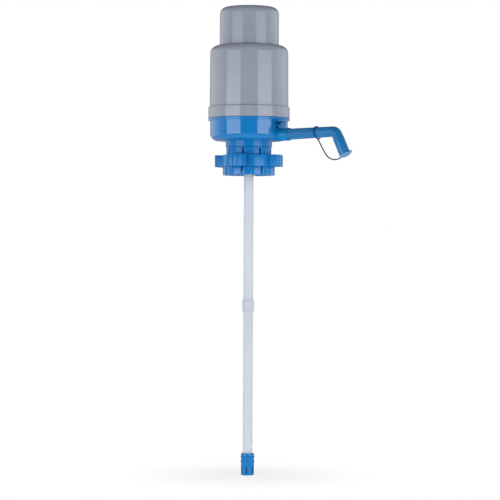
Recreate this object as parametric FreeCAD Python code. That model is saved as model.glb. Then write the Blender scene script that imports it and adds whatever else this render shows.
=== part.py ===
import FreeCAD, Part

import math
import os

# Hand pump for the neck of a 5 gallon water bottle. Millimetres, +Z up.
# The origin is on the pump's axis, in the plane where the bottle's rim seats. The spout points along +X.

# ---------------------------------------------------------------- driving dimensions

# bottle neck that the pump clamps on
crown_radius = 27.75          # outside of the crown in the closed collet
crown_height = 25.0           # rim to the underside of the crown
bottle_neck_radius = 25.5     # neck below the crown

# push cap and its stroke
cap_radius = 43.3
cap_wall = 2.2
cap_edge_radius = 10.0
cap_dome = 0.6                # rise of the cap's top between its rounded edges
cap_stroke = 48.0
cap_rest_height = 9.0         # what still shows when the cap is pressed home
cap_clearance = 0.35          # running gap to the barrel's guide
cap_flange_overlap = 2.1      # stop flange beyond the guide sleeve
cap_flange_thickness = 2.4
cap_vent_width = 9.0
cap_vent_height = 7.0
cap_vent_rise = 2.0           # vents above the stop flange
cap_vent_count = 4

# barrel
shoulder_width = 13.4         # cap opening to the barrel's side
barrel_wall = 2.4
barrel_height = 89.4          # above the band
barrel_draft = 0.6
barrel_edge_radius = 11.0
guide_wall = 2.0
guide_length = 20.0
gusset_count = 8
gusset_thickness = 1.6
gusset_rise = 2.0             # above the guide's lower end
band_height = 16.3
band_step = 1.9               # band beyond the barrel's side
band_wall = 2.6
band_fit = 0.1                # gap between the band and the housing
seam_groove = 0.5             # fine groove over the band

# blue base housing
housing_wall = 2.4
housing_height = 33.1         # below the band
lip_height = 3.5              # flange under the band, as wide as the band
lip_gap = 0.25                # seam between the two
lip_edge_radius = 0.7
housing_corner = 10.5
housing_lap = 14.0            # how far the housing reaches up inside the band
floor_thickness = 2.4
neck_radius = 34.0
neck_wall = 2.5
neck_height = 9.2
seam_height = 1.0             # neck's lower edge above the rim plane
web_thickness = 2.4
web_ledge = 0.5               # web beyond the gasket's bore
cup_wall = 2.4
cup_gap = 0.3                 # cup to the collet's spigot
spigot_gap = 0.4              # over the collet's spigot
rib_thickness = 1.8
rib_height = 4.0
weld = 0.5                    # how far fused pieces run into each other

# bayonet between barrel and housing
bayonet_count = 4
bayonet_depth = 1.15
bayonet_height = 3.0
bayonet_half_angle = 8.0
bayonet_play = 1.0            # degrees
bayonet_fit = 0.2
bayonet_rise = 7.0            # lug above the band's lower edge

# latch recess above the spout boss
latch_half_angle = 11.0
latch_height = 8.6
latch_depth = 1.2
latch_rise = 0.4              # above the boss
latch_lug_height = 5.3
latch_lug_rise = 2.0
latch_lug_angle = 8.0
latch_lug_proud = 0.2
catch_angle = 5.5
catch_margin = 1.5            # degrees from the recess's edge
catch_depth = 0.7
catch_drop = 1.4
catch_rise = 2.2

# collet and lock ring
finger_count = 8
slot_width = 2.8
slot_start = 1.8              # below the neck's lower edge
collar_radius = 33.0
collar_gap = 0.4              # seam under the neck's edge
collar_edge_radius = 0.3
collet_bore_clearance = 0.45  # collet's bore beyond the crown
grip_count = 3                # ribs inside that bear on the crown
grip_pitch = 5.5
grip_width = 3.4
grip_edge = 0.4
grip_lift = 0.5               # lowest rib above the crown's lower end
finger_radius = 31.2
cam_height = 1.2              # cam pads on the fingers
cam_half_angle = 7.0
cam_ramp_angle = 5.0
cam_gap = 0.2                 # ring's cams to the fingers' pads
foot_radius = 38.1
foot_height = 11.9
foot_edge_radius = 1.0
foot_groove = 1.6
foot_groove_depth = 1.0
foot_core_depth = 8.0
foot_core_wall = 2.0
foot_core_inset = 6.6         # pocket from the hook's face
foot_core_margin = 2.6        # degrees from a groove or slot
hook_clearance = 0.7          # hooks to the bottle's neck
hook_drop = 2.0               # below the crown
hook_lead = 4.2
collet_depth = 40.0           # rim plane to the feet's lower ends
spigot_length = 8.0
spigot_fit = 0.1
ring_height = 17.2
ring_gap = 0.3                # above the feet
ring_radius = 38.5
ring_wall = 3.9
ring_edge_radius = 0.8
ring_cam_drop = 0.9           # cams below the ring's top
lobe_count = 4
lobe_radius = 50.3
lobe_half_angle = 17.5
lobe_turn = 14.0              # first lobe from the spout's side
lobe_wall = 2.2
lobe_edge_radius = 1.6
lobe_groove_angle = 4.6
lobe_groove_width = 1.2
lobe_groove_depth = 0.9

# neck gasket
gasket_thickness = 2.0
gasket_width = 7.1
gasket_clearance = 0.15

# spout
spout_axis_height = 7.7       # above the housing's flat underside
boss_radius = 9.3
boss_reach = 74.1
boss_edge_radius = 0.8
arm_radius = 8.0              # at the boss
arm_end_radius = 7.4          # at the bend
arm_bore = 6.0
arm_fit = 0.1
arm_rise = 1.0                # degrees
rise_gap = 1.0                # boss's end to the middle of the slight bend
rise_radius = 100.0
corner_reach = 155.0
corner_radius = 7.9
nozzle_radius = 8.0
nozzle_tilt = 26.4            # degrees from straight down
nozzle_length = 36.4          # from the corner to the tip
nozzle_taper_length = 7.0
root_depth = 24.6             # arm inside the boss
root_gap = 0.3                # root to the end of its bore
seal_section = 1.5
seal_fit = 0.02
seal_groove_fit = 0.1
duct_seal_depth = 0.8
duct_seal_place = 6.6         # from the spout's root
spout_seal_depth = 0.9
spout_seal_place = 8.9        # from the boss's end

# spout plug and its tether
plug_length = 6.0
plug_fit = 0.15
plug_wall = 1.2
plug_floor = 1.4
flange_radius = 8.8
flange_thickness = 2.4
flange_gap = 0.05
tab_reach = 12.9
tab_width = 8.0
tab_thickness = 1.4
lug_reach = 1.2
lug_width = 3.0
lug_inset = 0.4
tether_place = 123.0          # loop's distance from the pump's axis
tether_lean = 10.0            # degrees
tether_wire = 0.7
tether_gap = 0.45
tether_drop = 0.2             # loop below the arm's middle
knot_radius = 1.5
strap_radius = 0.65
strap_gap = 0.02
strap_start_angle = -60.0     # degrees, direction in which the strap leaves the loop
strap_share = 0.7             # first arc's tangent to the second's

# outlet elbow and dip tube
tube_radius = 7.0
tube_wall = 1.0
tube_fit = 0.05
socket_depth = 18.0
socket_wall = 1.95
socket_drop = 14.0            # socket's mouth below the rim plane
duct_radius = 5.2
duct_bore = 3.8
duct_bend_radius = 8.0
duct_engagement = 12.0        # duct inside the spout's root
mouth_chamfer = 1.2
spider_wall = 2.4
spider_height = 6.0
spider_fit = 0.05
spoke_height = 4.0
spoke_width = 3.0
spoke_count = 4
elbow_collar = 2.3
elbow_collar_height = 1.8
upper_tube_length = 234.0
lower_tube_length = 229.4
coupling_length = 17.0
coupling_wall = 1.7
coupling_stop = 1.0
strainer_length = 32.0
strainer_radius = 9.5
strainer_socket = 14.0
strainer_slots = 6
strainer_slot_width = 2.4
strainer_slot_height = 10.0
strainer_slot_rise = 3.0
strainer_notch_depth = 1.0
strainer_floor = 2.0
strainer_ridge = 0.9
strainer_ridge_width = 1.2
strainer_edge_radius = 1.2
ridge_places = (4.9, 11.9)    # below the strainer's top

# bellows, valve plate, head and fasteners
plate_thickness = 2.5
plate_seal_thickness = 1.6
plate_seal_width = 2.9
plate_clearance = 0.35
ledge_width = 3.45
chamber_height = 18.8         # housing's floor to the ledge under the plate
ledge_thickness = 2.0
bellows_gap = 1.2             # bellows to the cap's inside
bellows_depth = 8.6
bellows_wall = 2.0            # across the pleats, measured radially
bellows_flange = 1.6
bellows_foot = 4.6
bellows_collar = 7.0
pleat_count = 10
clamp_lap = 3.2
clamp_gap = 0.2               # clamp rings to the bellows' sides
clamp_thickness = 2.2
screw_count = 6
head_screw_count = 4
screw_radius = 1.5
screw_fit = 0.06
screw_head_radius = 2.8
screw_head_height = 1.9
screw_length = 11.0
screw_boss_radius = 3.4
screw_boss_gap = 0.2          # to the ledge
screw_head_edge = 0.9
head_screw_length = 9.0
head_drop = 5.9               # cap's inside to the head plate
head_plate_gap = 3.3          # head plate's edge to the cap's inside
head_screw_circle = 30.0
head_ring_margin = 0.7        # beyond the screws' heads
head_ring_land = 4.0          # inside them
valve_radius = 12.5
valve_thickness = 1.2
valve_lift = 1.5
valve_gap = 0.05
post_radius = 3.0
post_fit = 0.1
retainer_radius = 5.0
retainer_thickness = 1.2
retainer_fit = 0.02
retainer_notch = 0.8
retainer_notch_reach = 1.2
post_end = 0.8                # post beyond its retainer
air_hole_count = 6
air_hole_radius = 2.5
air_hole_circle = 8.0

# ---------------------------------------------------------------- derived places

barrel_opening = cap_radius + cap_clearance
guide_radius = barrel_opening + guide_wall
barrel_top_radius = barrel_opening + shoulder_width
barrel_foot_radius = barrel_top_radius + barrel_draft
band_radius = barrel_foot_radius + band_step
band_bore = band_radius - band_wall
housing_radius = band_bore - band_fit
housing_bore = housing_radius - housing_wall

housing_z = seam_height + neck_height
floor_z = housing_z + floor_thickness
band_z = housing_z + housing_height
band_top_z = band_z + band_height
housing_rim_z = band_z + housing_lap
barrel_top_z = band_top_z + barrel_height
cap_top_z = barrel_top_z + cap_stroke + cap_rest_height
guide_z = barrel_top_z - guide_length
cap_bore = cap_radius - cap_wall
cap_flange_radius = guide_radius + cap_flange_overlap
cap_flange_z = guide_z - cap_clearance

ledge_z = floor_z + chamber_height
ledge_bore = housing_bore - ledge_width
plate_z = ledge_z + plate_seal_thickness
plate_top_z = plate_z + plate_thickness
screw_circle = ledge_bore - screw_boss_radius - screw_boss_gap
cap_inside_z = cap_top_z - cap_dome - cap_wall
head_z = cap_inside_z - head_drop
head_bottom_z = head_z - plate_thickness

bellows_peak = cap_bore - bellows_gap
bellows_root = bellows_peak - bellows_depth
bellows_foot_radius = bellows_peak + bellows_foot
head_ring_z = head_bottom_z - bellows_flange - clamp_thickness
head_ring_radius = head_screw_circle + screw_head_radius + head_ring_margin
head_ring_bore = head_screw_circle - screw_head_radius - head_ring_land

collet_bore = crown_radius + collet_bore_clearance
neck_bore = neck_radius - neck_wall
foot_top_z = foot_height - collet_depth
ring_z = foot_top_z + ring_gap
ring_top_z = ring_z + ring_height
ring_bore = ring_radius - ring_wall
cam_radius = finger_radius + cam_height
cam_z = ring_top_z - ring_cam_drop
gasket_radius = crown_radius - gasket_clearance
gasket_bore = gasket_radius - gasket_width
web_bore = gasket_bore - web_ledge
cup_radius = collet_bore - cup_gap
cup_bore = cup_radius - cup_wall

spout_z = housing_z + spout_axis_height
boss_bore = arm_radius + arm_fit
root_x = boss_reach - root_depth
kink = (boss_reach + rise_gap, spout_z)
corner = (corner_reach, spout_z + (corner_reach - kink[0]) * math.tan(math.radians(arm_rise)))
nozzle_way = (math.sin(math.radians(nozzle_tilt)), -math.cos(math.radians(nozzle_tilt)))
tip = (corner[0] + nozzle_length * nozzle_way[0], corner[1] + nozzle_length * nozzle_way[1])

socket_radius = tube_radius + tube_fit + socket_wall
socket_top_z = socket_depth - socket_drop
spider_radius = socket_radius + spider_fit
upper_tube_z = socket_top_z - upper_tube_length
lower_tube_top_z = upper_tube_z - coupling_stop
lower_tube_z = lower_tube_top_z - lower_tube_length
strainer_top_z = lower_tube_z + strainer_socket
strainer_z = strainer_top_z - strainer_length

# ---------------------------------------------------------------- shape helpers

UP = FreeCAD.Vector(0, 0, 1)
ORIGIN = FreeCAD.Vector(0, 0, 0)


def in_section(point):
    """A point (distance from the axis, height) in the XZ plane."""
    return FreeCAD.Vector(point[0], 0, point[1])


def in_plan(point):
    """A point (x, y) in the XY plane."""
    return FreeCAD.Vector(point[0], point[1], 0)


def polar(radius, degrees):
    return (radius * math.cos(math.radians(degrees)), radius * math.sin(math.radians(degrees)))


def outline(corners, place=in_section):
    """A closed wire through corners (a, b) or (a, b, fillet radius)."""
    count = len(corners)
    points = [place(c) for c in corners]
    starts, ends, arcs = [], [], []
    for i, corner_spec in enumerate(corners):
        here = points[i]
        radius = corner_spec[2] if len(corner_spec) > 2 else 0
        if radius <= 0:
            starts.append(here)
            ends.append(here)
            arcs.append(None)
            continue
        back = (points[i - 1] - here).normalize()
        ahead = (points[(i + 1) % count] - here).normalize()
        half = back.getAngle(ahead) / 2
        reach = radius / math.tan(half)
        middle = (back + ahead).normalize() * (radius / math.sin(half) - radius)
        starts.append(here + back * reach)
        ends.append(here + ahead * reach)
        arcs.append(Part.Arc(starts[-1], here + middle, ends[-1]).toShape())
    edges = []
    for i in range(count):
        if arcs[i] is not None:
            edges.append(arcs[i])
        following = starts[(i + 1) % count]
        if (following - ends[i]).Length > 1e-6:
            edges.append(Part.LineSegment(ends[i], following).toShape())
    return Part.Wire(edges)


def outward(solid):
    """The solid with its faces pointing out."""
    if solid.Volume < 0:
        solid.reverse()
    return solid


def turned(corners):
    """A solid of revolution about the pump's axis."""
    return outward(Part.Face(outline(corners)).revolve(ORIGIN, UP, 360))


def disc(radius, z, top):
    return Part.makeCylinder(radius, top - z, FreeCAD.Vector(0, 0, z))


def tube(radius, bore, z, top):
    return disc(radius, z, top).cut(disc(bore, z - 1, top + 1))


def block(x, y, z):
    """A box from three (low, high) pairs."""
    sides = [high - low for low, high in (x, y, z)]
    return Part.makeBox(*sides, FreeCAD.Vector(x[0], y[0], z[0]))


def rod(start, end, radius, end_radius=None):
    """A round bar or cone between two points of the XZ plane."""
    way = in_section(end) - in_section(start)
    if end_radius is None or abs(end_radius - radius) < 1e-9:
        return Part.makeCylinder(radius, way.Length, in_section(start), way)
    return Part.makeCone(radius, end_radius, way.Length, in_section(start), way)


def sector(inner, outer, first, last, z, top, flare=0):
    """A piece of a ring between two angles. Its inner arc is shorter by flare degrees at each end."""
    middle = (first + last) / 2
    edges = [
        Part.Arc(*[in_plan(polar(outer, a)) for a in (first, middle, last)]).toShape(),
        Part.LineSegment(in_plan(polar(outer, last)), in_plan(polar(inner, last - flare))).toShape(),
        Part.Arc(*[in_plan(polar(inner, a)) for a in (last - flare, middle, first + flare)]).toShape(),
        Part.LineSegment(in_plan(polar(inner, first + flare)), in_plan(polar(outer, first))).toShape(),
    ]
    face = Part.Face(Part.Wire(edges))
    face.translate(FreeCAD.Vector(0, 0, z))
    return outward(face.extrude(FreeCAD.Vector(0, 0, top - z)))


def around(shape, count, start=0.0):
    """Copies of a shape, evenly spaced about the pump's axis."""
    copies = []
    for i in range(count):
        copy = shape.copy()
        copy.rotate(ORIGIN, UP, start + i * 360.0 / count)
        copies.append(copy)
    return copies


def bend(start, way, radius, turn, section):
    """A round bar bent in the XZ plane: a disc at start, facing way, swung through turn degrees.

    A positive turn bends the bar upwards. Returns the solid and its end point and direction.
    """
    sign = 1 if turn > 0 else -1
    normal = (-way[1] * sign, way[0] * sign)
    centre = (start[0] + normal[0] * radius, start[1] + normal[1] * radius)
    circle = Part.Circle(in_section(start), in_section(way), section).toShape()
    face = Part.Face(Part.Wire(circle))
    solid = outward(face.revolve(in_section(centre), FreeCAD.Vector(0, -1, 0), turn))
    angle = math.radians(turn)
    end_way = (
        way[0] * math.cos(angle) - way[1] * math.sin(angle),
        way[0] * math.sin(angle) + way[1] * math.cos(angle),
    )
    end = (
        centre[0] + end_way[1] * radius * sign,
        centre[1] - end_way[0] * radius * sign,
    )
    return solid, end, end_way


def at_nozzle(shape):
    """Moves a shape from its own frame to the nozzle's tip: +Z leaves the nozzle, +X faces the bottle."""
    shape.rotate(ORIGIN, FreeCAD.Vector(0, 1, 0), 180 - nozzle_tilt)
    shape.translate(in_section(tip))
    return shape


def seal_ring(bore, radius, x):
    """A squeezed O-ring about the spout's axis, between a groove and the wall round it."""
    inner = bore + seal_fit
    outer = radius - seal_fit
    half = seal_section / 2
    edge = (outer - inner) * 0.3
    ring = turned([
        (inner, edge - half), (inner + edge, -half), (outer - edge, -half), (outer, edge - half),
        (outer, half - edge), (outer - edge, half), (inner + edge, half), (inner, half - edge),
    ])
    ring.rotate(ORIGIN, FreeCAD.Vector(0, 1, 0), 90)
    ring.translate(FreeCAD.Vector(x, 0, spout_z))
    return ring


def seal_groove(bore, radius, x):
    """What is cut from a pipe along the spout's axis to hold an O-ring."""
    half = seal_section / 2 + seal_groove_fit
    outer = rod((x - half, spout_z), (x + half, spout_z), radius + 1)
    return outer.cut(rod((x - half - 1, spout_z), (x + half + 1, spout_z), bore))


def screw(z, length, head_up=True):
    """A pan-head screw on the axis, whose head bears on the plane at height z."""
    way = -1 if head_up else 1
    head = turned([
        (0, z),
        (screw_head_radius, z),
        (screw_head_radius, z - way * screw_head_height, screw_head_edge),
        (0, z - way * screw_head_height),
    ])
    low, high = sorted((z - way * 0.1, z + way * length))
    return head.fuse(disc(screw_radius, low, high))


def moved_out(shape, radius):
    shape.translate(FreeCAD.Vector(radius, 0, 0))
    return shape


# ---------------------------------------------------------------- base housing

duct_seal_x = root_x + duct_seal_place
spout_seal_x = boss_reach - spout_seal_place
wall_side_z = ledge_z - ledge_thickness


def spider():
    """Hub that holds the outlet elbow in the middle of the neck, on four spokes."""
    z = gasket_thickness
    spoke = block((spider_radius + 1, web_bore + 1), (-spoke_width / 2, spoke_width / 2),
                  (z, z + spoke_height))
    hub = tube(spider_radius + spider_wall, spider_radius, z, z + spider_height)
    return [hub] + around(spoke, spoke_count, 180.0 / spoke_count)


def base_housing():
    web_z = gasket_thickness
    pocket_z = seam_height + spigot_length + spigot_gap
    lip_top_z = band_z - lip_gap
    bowl = turned([
        (neck_radius, seam_height),
        (neck_radius, housing_z, 0.8),
        (housing_radius, housing_z, housing_corner),
        (housing_radius, lip_top_z - lip_height),
        (band_radius, lip_top_z - lip_height, lip_edge_radius),
        (band_radius, lip_top_z, lip_edge_radius),
        (housing_radius, lip_top_z),
        (housing_radius, housing_rim_z, 0.6),
        (housing_bore, housing_rim_z),
        (housing_bore, ledge_z),
        (ledge_bore, ledge_z),
        (ledge_bore, wall_side_z),
        (housing_bore, wall_side_z - ledge_width),
        (housing_bore, floor_z, housing_corner - housing_wall),
        (cup_bore, floor_z),
        (cup_bore, web_z + web_thickness),
        (web_bore, web_z + web_thickness),
        (web_bore, web_z),
        (cup_radius, web_z),
        (cup_radius, pocket_z),
        (neck_bore, pocket_z),
        (neck_bore, seam_height),
    ])
    boss_x = housing_radius - housing_corner - weld
    boss = rod((boss_x, spout_z), (boss_reach, spout_z), boss_radius)
    boss_edge = max(boss.Edges, key=lambda e: e.CenterOfMass.x)
    boss = boss.makeFillet(boss_edge_radius, [boss_edge])
    screw_boss = moved_out(disc(screw_boss_radius, floor_z - weld, plate_z), screw_circle)
    rib = block((cup_radius, screw_circle), (-rib_thickness / 2, rib_thickness / 2),
                (floor_z - weld, floor_z + rib_height))
    bayonet_z = band_z + bayonet_rise
    lug = sector(housing_radius - 1, housing_radius + bayonet_depth, -bayonet_half_angle,
                 bayonet_half_angle, bayonet_z, bayonet_z + bayonet_height)
    added = [boss] + spider() + around(lug, bayonet_count, 180.0 / bayonet_count)
    added += around(screw_boss, screw_count, 180.0 / screw_count)
    added += around(rib, screw_count, 180.0 / screw_count)
    body = bowl.fuse(added)

    latch_z = spout_z + boss_radius + latch_rise
    floor_r = housing_radius - latch_depth
    window = sector(floor_r, housing_radius + 2, -latch_half_angle, latch_half_angle,
                    latch_z, latch_z + latch_height)
    catch_start = catch_margin - latch_half_angle
    catch = sector(floor_r - catch_depth, housing_radius + 2, catch_start, catch_start + catch_angle,
                   latch_z - catch_drop, latch_z + catch_rise)
    screw_hole = moved_out(disc(screw_radius + screw_fit, floor_z + 1, plate_z + 1), screw_circle)
    cuts = [
        rod((root_x - root_gap, spout_z), (boss_reach + 1, spout_z), boss_bore),
        rod((boss_x - 1, spout_z), (root_x, spout_z), duct_radius + arm_fit),
        window,
        catch,
    ]
    body = body.cut(cuts + around(screw_hole, screw_count, 180.0 / screw_count))
    latch_lug = sector(floor_r - weld, housing_radius + latch_lug_proud,
                       latch_half_angle - latch_lug_angle, latch_half_angle,
                       latch_z + latch_lug_rise, latch_z + latch_lug_rise + latch_lug_height)
    return body.fuse(latch_lug)


# ---------------------------------------------------------------- collet, lock ring, gasket

def neck_collet():
    """Eight fingers that grip the bottle's crown, on a ring that snaps into the housing's neck."""
    shoulder_z = seam_height - collar_gap
    hook_radius = bottle_neck_radius + hook_clearance
    grips = []
    for i in range(grip_count):
        low = grip_lift - crown_height + i * grip_pitch
        if i > 0:
            grips.append((collet_bore, low - grip_edge))
        grips += [(crown_radius, low), (crown_radius, low + grip_width),
                  (collet_bore, low + grip_width + grip_edge)]
    body = turned([
        (collet_bore, seam_height + spigot_length),
        (neck_bore - spigot_fit, seam_height + spigot_length),
        (neck_bore - spigot_fit, shoulder_z),
        (collar_radius, shoulder_z, collar_edge_radius),
        (collar_radius, cam_z + ring_gap),
        (finger_radius, cam_z + ring_gap),
        (finger_radius, foot_top_z),
        (foot_radius, foot_top_z, foot_edge_radius),
        (foot_radius, -collet_depth, foot_edge_radius),
        (hook_radius + hook_lead, -collet_depth),
        (hook_radius, hook_lead - collet_depth),
        (hook_radius, -crown_height - hook_drop),
    ] + grips)
    pad = sector(finger_radius - weld, cam_radius, -cam_half_angle, cam_half_angle, foot_top_z, cam_z)
    body = body.fuse(around(pad, finger_count))

    pitch = 360.0 / finger_count
    slot_angle = math.degrees(slot_width / 2 / foot_radius)
    slot = block((cup_bore, foot_radius + 1), (-slot_width / 2, slot_width / 2),
                 (-collet_depth - 1, seam_height - slot_start))
    groove = block((foot_radius - foot_groove_depth, foot_radius + 1),
                   (-foot_groove / 2, foot_groove / 2), (-collet_depth - 1, foot_top_z + 1))
    core = sector(hook_radius + foot_core_inset, foot_radius - foot_core_wall,
                  foot_core_margin, pitch / 2 - slot_angle - foot_core_margin,
                  -collet_depth - 1, foot_core_depth - collet_depth)
    cuts = around(slot, finger_count, pitch / 2) + around(groove, finger_count)
    cuts += around(core, finger_count) + around(core.mirror(ORIGIN, FreeCAD.Vector(0, 1, 0)), finger_count)
    return body.cut(cuts).removeSplitter()


def lock_ring():
    """Grip ring with four hollow lobes. Eight cams inside press on the fingers' pads."""
    body = turned([
        (ring_bore, ring_z),
        (ring_radius, ring_z, ring_edge_radius),
        (ring_radius, ring_top_z, ring_edge_radius),
        (ring_bore, ring_top_z),
    ])
    lobe = sector(ring_radius - weld, lobe_radius, -lobe_half_angle, lobe_half_angle, ring_z, ring_top_z)
    upright = [e for e in lobe.Edges
               if abs(e.tangentAt(e.FirstParameter).z) > 0.9
               and math.hypot(e.CenterOfMass.x, e.CenterOfMass.y) > lobe_radius - 1]
    lobe = lobe.makeFillet(lobe_edge_radius, upright)
    side = math.degrees(lobe_wall / ring_radius)
    core = sector(ring_radius + lobe_wall, lobe_radius - lobe_wall, -lobe_half_angle + side,
                  lobe_half_angle - side, ring_z - 1, ring_top_z - lobe_wall)
    cuts = [core]
    for way in (-1, 1):
        groove = block((lobe_radius - lobe_groove_depth, lobe_radius + 1),
                       (-lobe_groove_width / 2, lobe_groove_width / 2), (ring_z - 1, ring_top_z + 1))
        groove.rotate(ORIGIN, UP, way * lobe_groove_angle)
        cuts.append(groove)
    lobe = lobe.cut(cuts)
    cam = sector(cam_radius + cam_gap, ring_bore + weld, -cam_half_angle - cam_ramp_angle,
                 cam_half_angle + cam_ramp_angle, ring_z, cam_z, cam_ramp_angle)
    added = around(lobe, lobe_count, lobe_turn) + around(cam, finger_count)
    return body.fuse(added).removeSplitter()


def neck_gasket():
    return tube(gasket_radius, gasket_bore, 0, gasket_thickness)


# ---------------------------------------------------------------- barrel and push cap

def barrel():
    """Outer shell with the band that laps the housing and the guide sleeve for the cap."""
    inside = barrel_top_radius - barrel_wall
    top_edge = min(barrel_edge_radius, shoulder_width - 1.0)
    inner_edge = min(barrel_edge_radius - barrel_wall, (inside - guide_radius) * 0.94)
    shell = turned([
        (band_bore, band_z),
        (band_radius, band_z, 0.8),
        (band_radius, band_top_z, 1.1),
        (barrel_foot_radius - seam_groove, band_top_z),
        (barrel_foot_radius - seam_groove, band_top_z + seam_groove),
        (barrel_foot_radius, band_top_z + seam_groove),
        (barrel_top_radius, barrel_top_z, top_edge),
        (barrel_opening, barrel_top_z, 0.7),
        (barrel_opening, guide_z),
        (guide_radius, guide_z),
        (guide_radius, barrel_top_z - barrel_wall),
        (inside, barrel_top_z - barrel_wall, inner_edge),
        (inside + barrel_draft, housing_rim_z),
        (band_bore, housing_rim_z),
    ])
    gusset = Part.Face(outline([
        (guide_radius - weld, guide_z + gusset_rise),
        (inside + weld, barrel_top_z - barrel_edge_radius),
        (inside + weld, barrel_top_z - barrel_wall - inner_edge),
        (guide_radius + weld, barrel_top_z - barrel_wall + weld),
        (guide_radius - weld, barrel_top_z - barrel_wall + weld),
    ])).extrude(FreeCAD.Vector(0, gusset_thickness, 0))
    gusset.translate(FreeCAD.Vector(0, -gusset_thickness / 2, 0))
    body = shell.fuse(around(outward(gusset), gusset_count))

    outer = housing_radius + bayonet_depth + bayonet_fit
    slot_angle = bayonet_half_angle + bayonet_play
    bayonet_z = band_z + bayonet_rise
    entry = sector(band_bore - 1, outer, -3 * slot_angle, -slot_angle, band_z - 1,
                   bayonet_z + bayonet_height + bayonet_fit)
    run = sector(band_bore - 1, outer, -3 * slot_angle, slot_angle, bayonet_z - bayonet_fit,
                 bayonet_z + bayonet_height + bayonet_fit)
    slots = around(entry, bayonet_count, 180.0 / bayonet_count)
    slots += around(run, bayonet_count, 180.0 / bayonet_count)
    return body.cut(slots).removeSplitter()


def push_cap():
    """Press cap: a domed top with a rounded edge, a long skirt and a stop flange under the guide."""
    side_z = cap_top_z - cap_dome
    flat = cap_radius - cap_edge_radius
    diagonal = math.sqrt(0.5)
    inner_edge = cap_edge_radius - cap_wall
    flange_z = cap_flange_z - cap_flange_thickness

    def arc(*points):
        return Part.Arc(*[in_section(p) for p in points]).toShape()

    def line(start, end):
        return Part.LineSegment(in_section(start), in_section(end)).toShape()

    centre_z = side_z - cap_edge_radius
    edges = [
        arc((0, cap_top_z), (flat / 2, cap_top_z - cap_dome / 4), (flat, side_z)),
        arc((flat, side_z), (flat + cap_edge_radius * diagonal, centre_z + cap_edge_radius * diagonal),
            (cap_radius, centre_z)),
        line((cap_radius, centre_z), (cap_radius, cap_flange_z)),
        line((cap_radius, cap_flange_z), (cap_flange_radius, cap_flange_z)),
        line((cap_flange_radius, cap_flange_z), (cap_flange_radius, flange_z)),
        line((cap_flange_radius, flange_z), (cap_bore, flange_z)),
        line((cap_bore, flange_z), (cap_bore, centre_z)),
        arc((cap_bore, centre_z), (flat + inner_edge * diagonal, centre_z + inner_edge * diagonal),
            (flat, cap_inside_z)),
        line((flat, cap_inside_z), (0, cap_inside_z)),
        line((0, cap_inside_z), (0, cap_top_z)),
    ]
    shell = outward(Part.Face(Part.Wire(edges)).revolve(ORIGIN, UP, 360))
    boss = moved_out(disc(screw_boss_radius, head_z, cap_inside_z + weld), head_screw_circle)
    rib = block((0.1, head_screw_circle), (-rib_thickness / 2, rib_thickness / 2),
                (cap_inside_z - rib_height, cap_inside_z + weld))
    body = shell.fuse(around(boss, head_screw_count) + around(rib, head_screw_count))
    hole = moved_out(disc(screw_radius + screw_fit, head_z - 1, cap_inside_z), head_screw_circle)
    vent = block((cap_bore - 1, cap_radius + 1), (-cap_vent_width / 2, cap_vent_width / 2),
                 (cap_flange_z + cap_vent_rise, cap_flange_z + cap_vent_rise + cap_vent_height))
    vents = around(vent, cap_vent_count, 180.0 / cap_vent_count)
    return body.cut(around(hole, head_screw_count) + vents).removeSplitter()


# ---------------------------------------------------------------- bellows and its clamps

def bellows():
    """Pleated chamber with a foot flange outside and a top flange inside."""
    foot_z = plate_top_z
    top_z = head_bottom_z
    first_z = foot_z + bellows_collar
    last_z = top_z - bellows_collar - bellows_flange
    half = (last_z - first_z) / pleat_count / 2
    collar = bellows_root + bellows_wall
    outside, inside = [], []
    for i in range(pleat_count):
        z = first_z + (2 * i + 1) * half
        outside += [(bellows_peak, z)]
        inside += [(bellows_peak - bellows_wall, z)]
        if i < pleat_count - 1:
            outside += [(bellows_root + bellows_wall, z + half)]
            inside += [(bellows_root, z + half)]
    corners = [
        (bellows_root, foot_z),
        (bellows_foot_radius, foot_z),
        (bellows_foot_radius, foot_z + bellows_flange),
        (collar, foot_z + bellows_flange),
        (collar, first_z),
    ]
    corners += outside
    corners += [
        (head_ring_radius + clamp_gap + bellows_wall, last_z),
        (head_ring_radius + clamp_gap + bellows_wall, top_z),
        (head_ring_bore, top_z),
        (head_ring_bore, top_z - bellows_flange),
        (head_ring_radius + clamp_gap, top_z - bellows_flange),
        (head_ring_radius + clamp_gap, last_z),
    ]
    corners += inside[::-1]
    corners += [(bellows_root, first_z)]
    hole = moved_out(disc(screw_radius + clamp_gap, top_z - 5, top_z + 1), head_screw_circle)
    return turned(corners).cut(around(hole, head_screw_count))


def ring_of_screws(count, circle, start, z, length, head_up):
    return Part.makeCompound(around(moved_out(screw(z, length, head_up), circle), count, start))


# The clamp ring laps the bellows' foot and lies on the valve plate.
clamp_radius = screw_circle + screw_boss_radius
clamp_top_z = plate_top_z + bellows_flange + clamp_thickness


def bellows_ring():
    body = turned([
        (bellows_foot_radius - clamp_lap, clamp_top_z, 0.5),
        (bellows_foot_radius - clamp_lap, plate_top_z + bellows_flange),
        (bellows_foot_radius + clamp_gap, plate_top_z + bellows_flange),
        (bellows_foot_radius + clamp_gap, plate_top_z),
        (clamp_radius, plate_top_z),
        (clamp_radius, clamp_top_z, 0.5),
    ])
    hole = moved_out(disc(screw_radius + screw_fit, plate_top_z - 1, clamp_top_z + 1), screw_circle)
    return body.cut(around(hole, screw_count, 180.0 / screw_count))


def valve_seat(radius, z, top):
    """A plate with air holes round a post that hangs from it and carries a valve disc."""
    post_z = z - valve_gap - valve_thickness - valve_lift - retainer_thickness - post_end
    plate = disc(radius, z, top).fuse(disc(post_radius, post_z, z + weld))
    hole = moved_out(disc(air_hole_radius, z - 1, top + 1), air_hole_circle)
    return plate.cut(around(hole, air_hole_count))


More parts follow.
